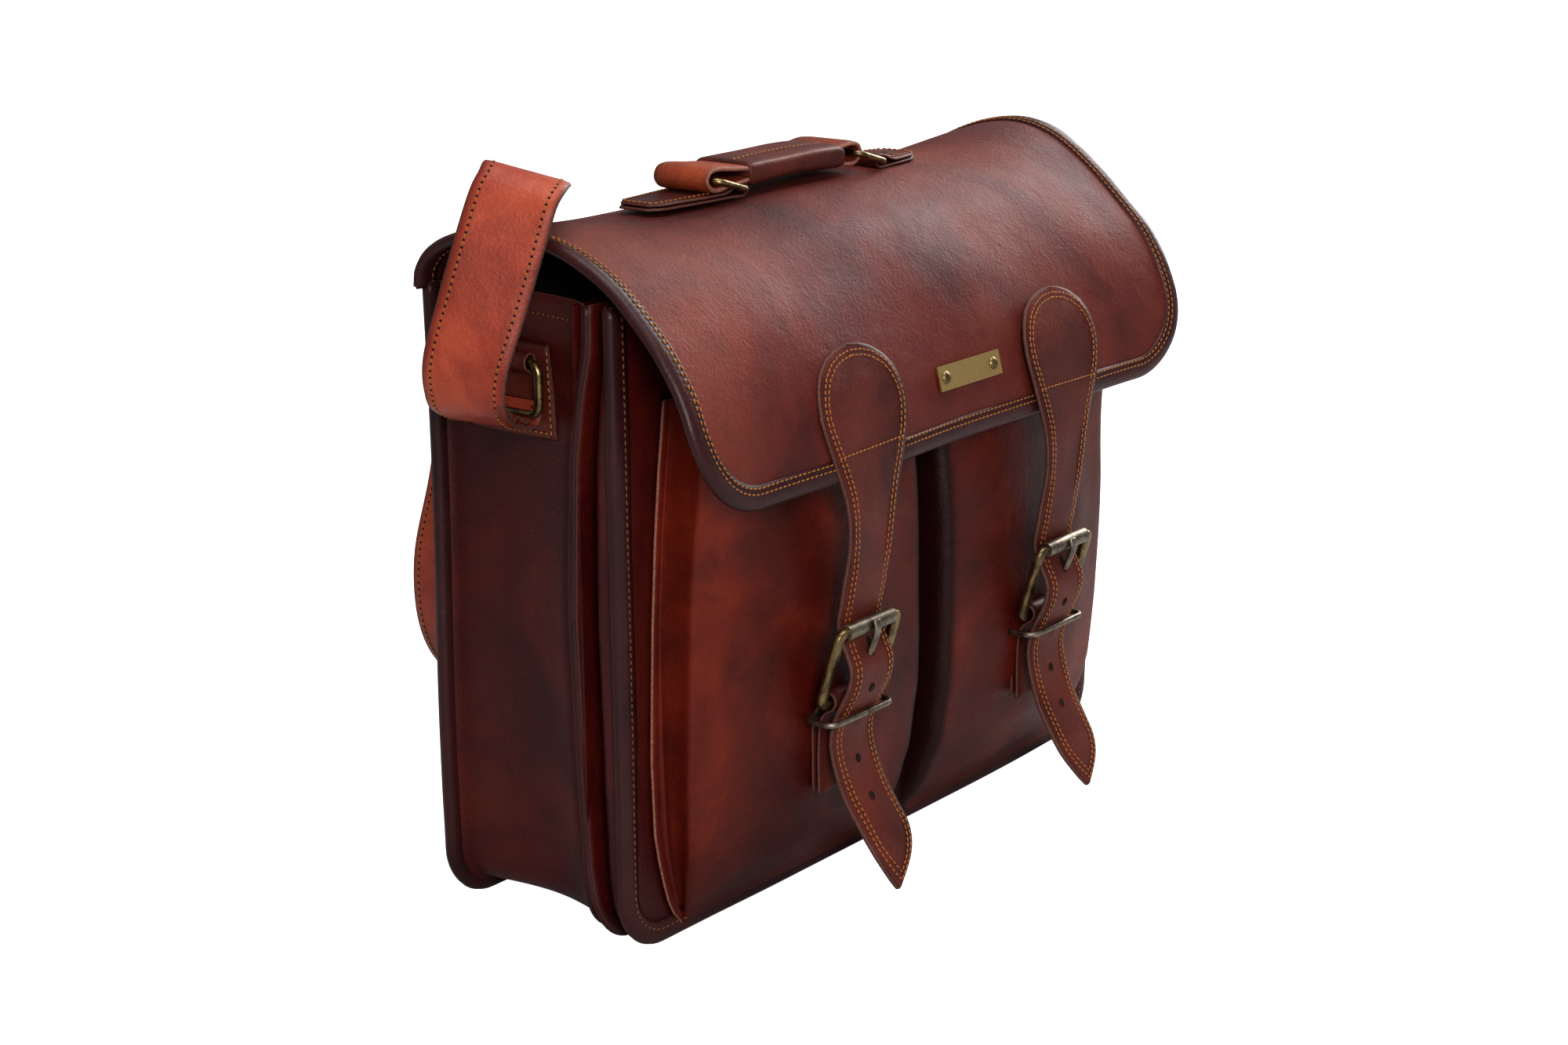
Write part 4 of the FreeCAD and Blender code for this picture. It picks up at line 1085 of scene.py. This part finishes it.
# ---- CAD nodes kept as they are
KEPT = [(M_BODY, ["divider_panel"]), (M_CLOTH, ["lining_rear", "lining_front"]), (M_PLATE, ["name_plate"]),
        (M_BRASS, ["chape_studs", "tab_rivets", "plate_rivets", "side_ring_left", "side_ring_right",
                   "handle_ring_left", "handle_ring_right"]),
        (M_PEWTER, ["buckle_roller_left", "buckle_roller_right", "strap_keeper_left",
                    "strap_keeper_right"])]
for mat, names in KEPT:
    for o in (NODES[name] for name in names):
        if not o.material_slots:
            o.data.materials.append(mat)
        for slot in o.material_slots:
            slot.material = mat

# ---- stage, light, camera
me = bpy.data.meshes.new("floor")
F = 24.0  # half the floor's width, in metres
me.from_pydata([(-F, -F, 0), (F, -F, 0), (F, F, 0), (-F, F, 0)], [], [(0, 1, 2, 3)])
floor = bpy.data.objects.new("floor", me)
bpy.context.scene.collection.objects.link(floor)
m, nt, bsdf = nodes_of("pale_floor")
# The sweep is lit from its own lamps, which don't shine on the bag.
seen = nt.nodes.new("ShaderNodeLightPath").outputs["Is Camera Ray"]
put(nt, bsdf, Base_Color=(0.55, 0.55, 0.55, 1), Roughness=0.9, Specular_IOR_Level=0.0,
    Emission_Color=(1.0, 1.0, 1.0, 1), Emission_Strength=math_node(nt, "MULTIPLY", seen, 0.85))
me.materials.append(m)

world = bpy.data.worlds.new("studio")
bpy.context.scene.world = world
world.use_nodes = True
nt = world.node_tree
put(nt, nt.nodes["Background"], Color=(1.0, 1.0, 1.0, 1), Strength=0.24)
bpy.context.scene.view_settings.view_transform = "Standard"
bpy.context.scene.view_settings.look = "Medium High Contrast"


def place(name, data, right, up, back, pos):
    """Lamp or camera at pos, looking away from back."""
    o = bpy.data.objects.new(name, data)
    bpy.context.scene.collection.objects.link(o)
    mat = np.eye(4)
    mat[:3, 0], mat[:3, 1], mat[:3, 2], mat[:3, 3] = right, up, back, pos
    o.matrix_world = Matrix(mat.tolist())
    return o


def area(name, pos, target, sx, sy, power):
    light = bpy.data.lights.new(name, "AREA")
    light.shape = "RECTANGLE"
    light.size, light.size_y, light.energy = sx, sy, power
    z = unit(np.array(pos) - np.array(target))
    x = unit(np.cross([0, 0, 1.0], z))
    place(name, light, x, np.cross(z, x), z, pos)


area("key_right", (1.9, 0.1, 1.1), (0.0, 0.0, 0.16), 0.9, 1.3, 26)
area("top_soft", (0.1, -0.3, 2.2), (0.0, 0.0, 0.2), 1.4, 1.1, 20)
area("front_left", (-1.6, -1.7, 1.1), (0.0, 0.0, 0.18), 0.8, 0.8, 27)

# focal length over a 2000-wide picture, angles in degrees, shifts and distance in millimetres
F_PX, AZ, EL, ROLL, DX, DY, DIST = 3602.5, -52.35, 15.62, -0.35, 3.0, -4.13, 1436.7
a, e, r = map(math.radians, (AZ, EL, ROLL))
back = np.array([math.sin(a) * math.cos(e), -math.cos(a) * math.cos(e), math.sin(e)])
right = np.array([math.cos(a), math.sin(a), 0.0])
up = np.cross(back, right)
right, up = right * math.cos(r) + up * math.sin(r), -right * math.sin(r) + up * math.cos(r)
pos = np.array([0, 0, 150.0]) + back * DIST - right * DX - up * DY
cam = bpy.data.cameras.new("camera")
cam.sensor_width = 36.0
cam.lens = F_PX * 36.0 / 2000.0
cam.clip_end = 50.0
bpy.context.scene.camera = place("camera", cam, right, up, back, to_frame(pos))
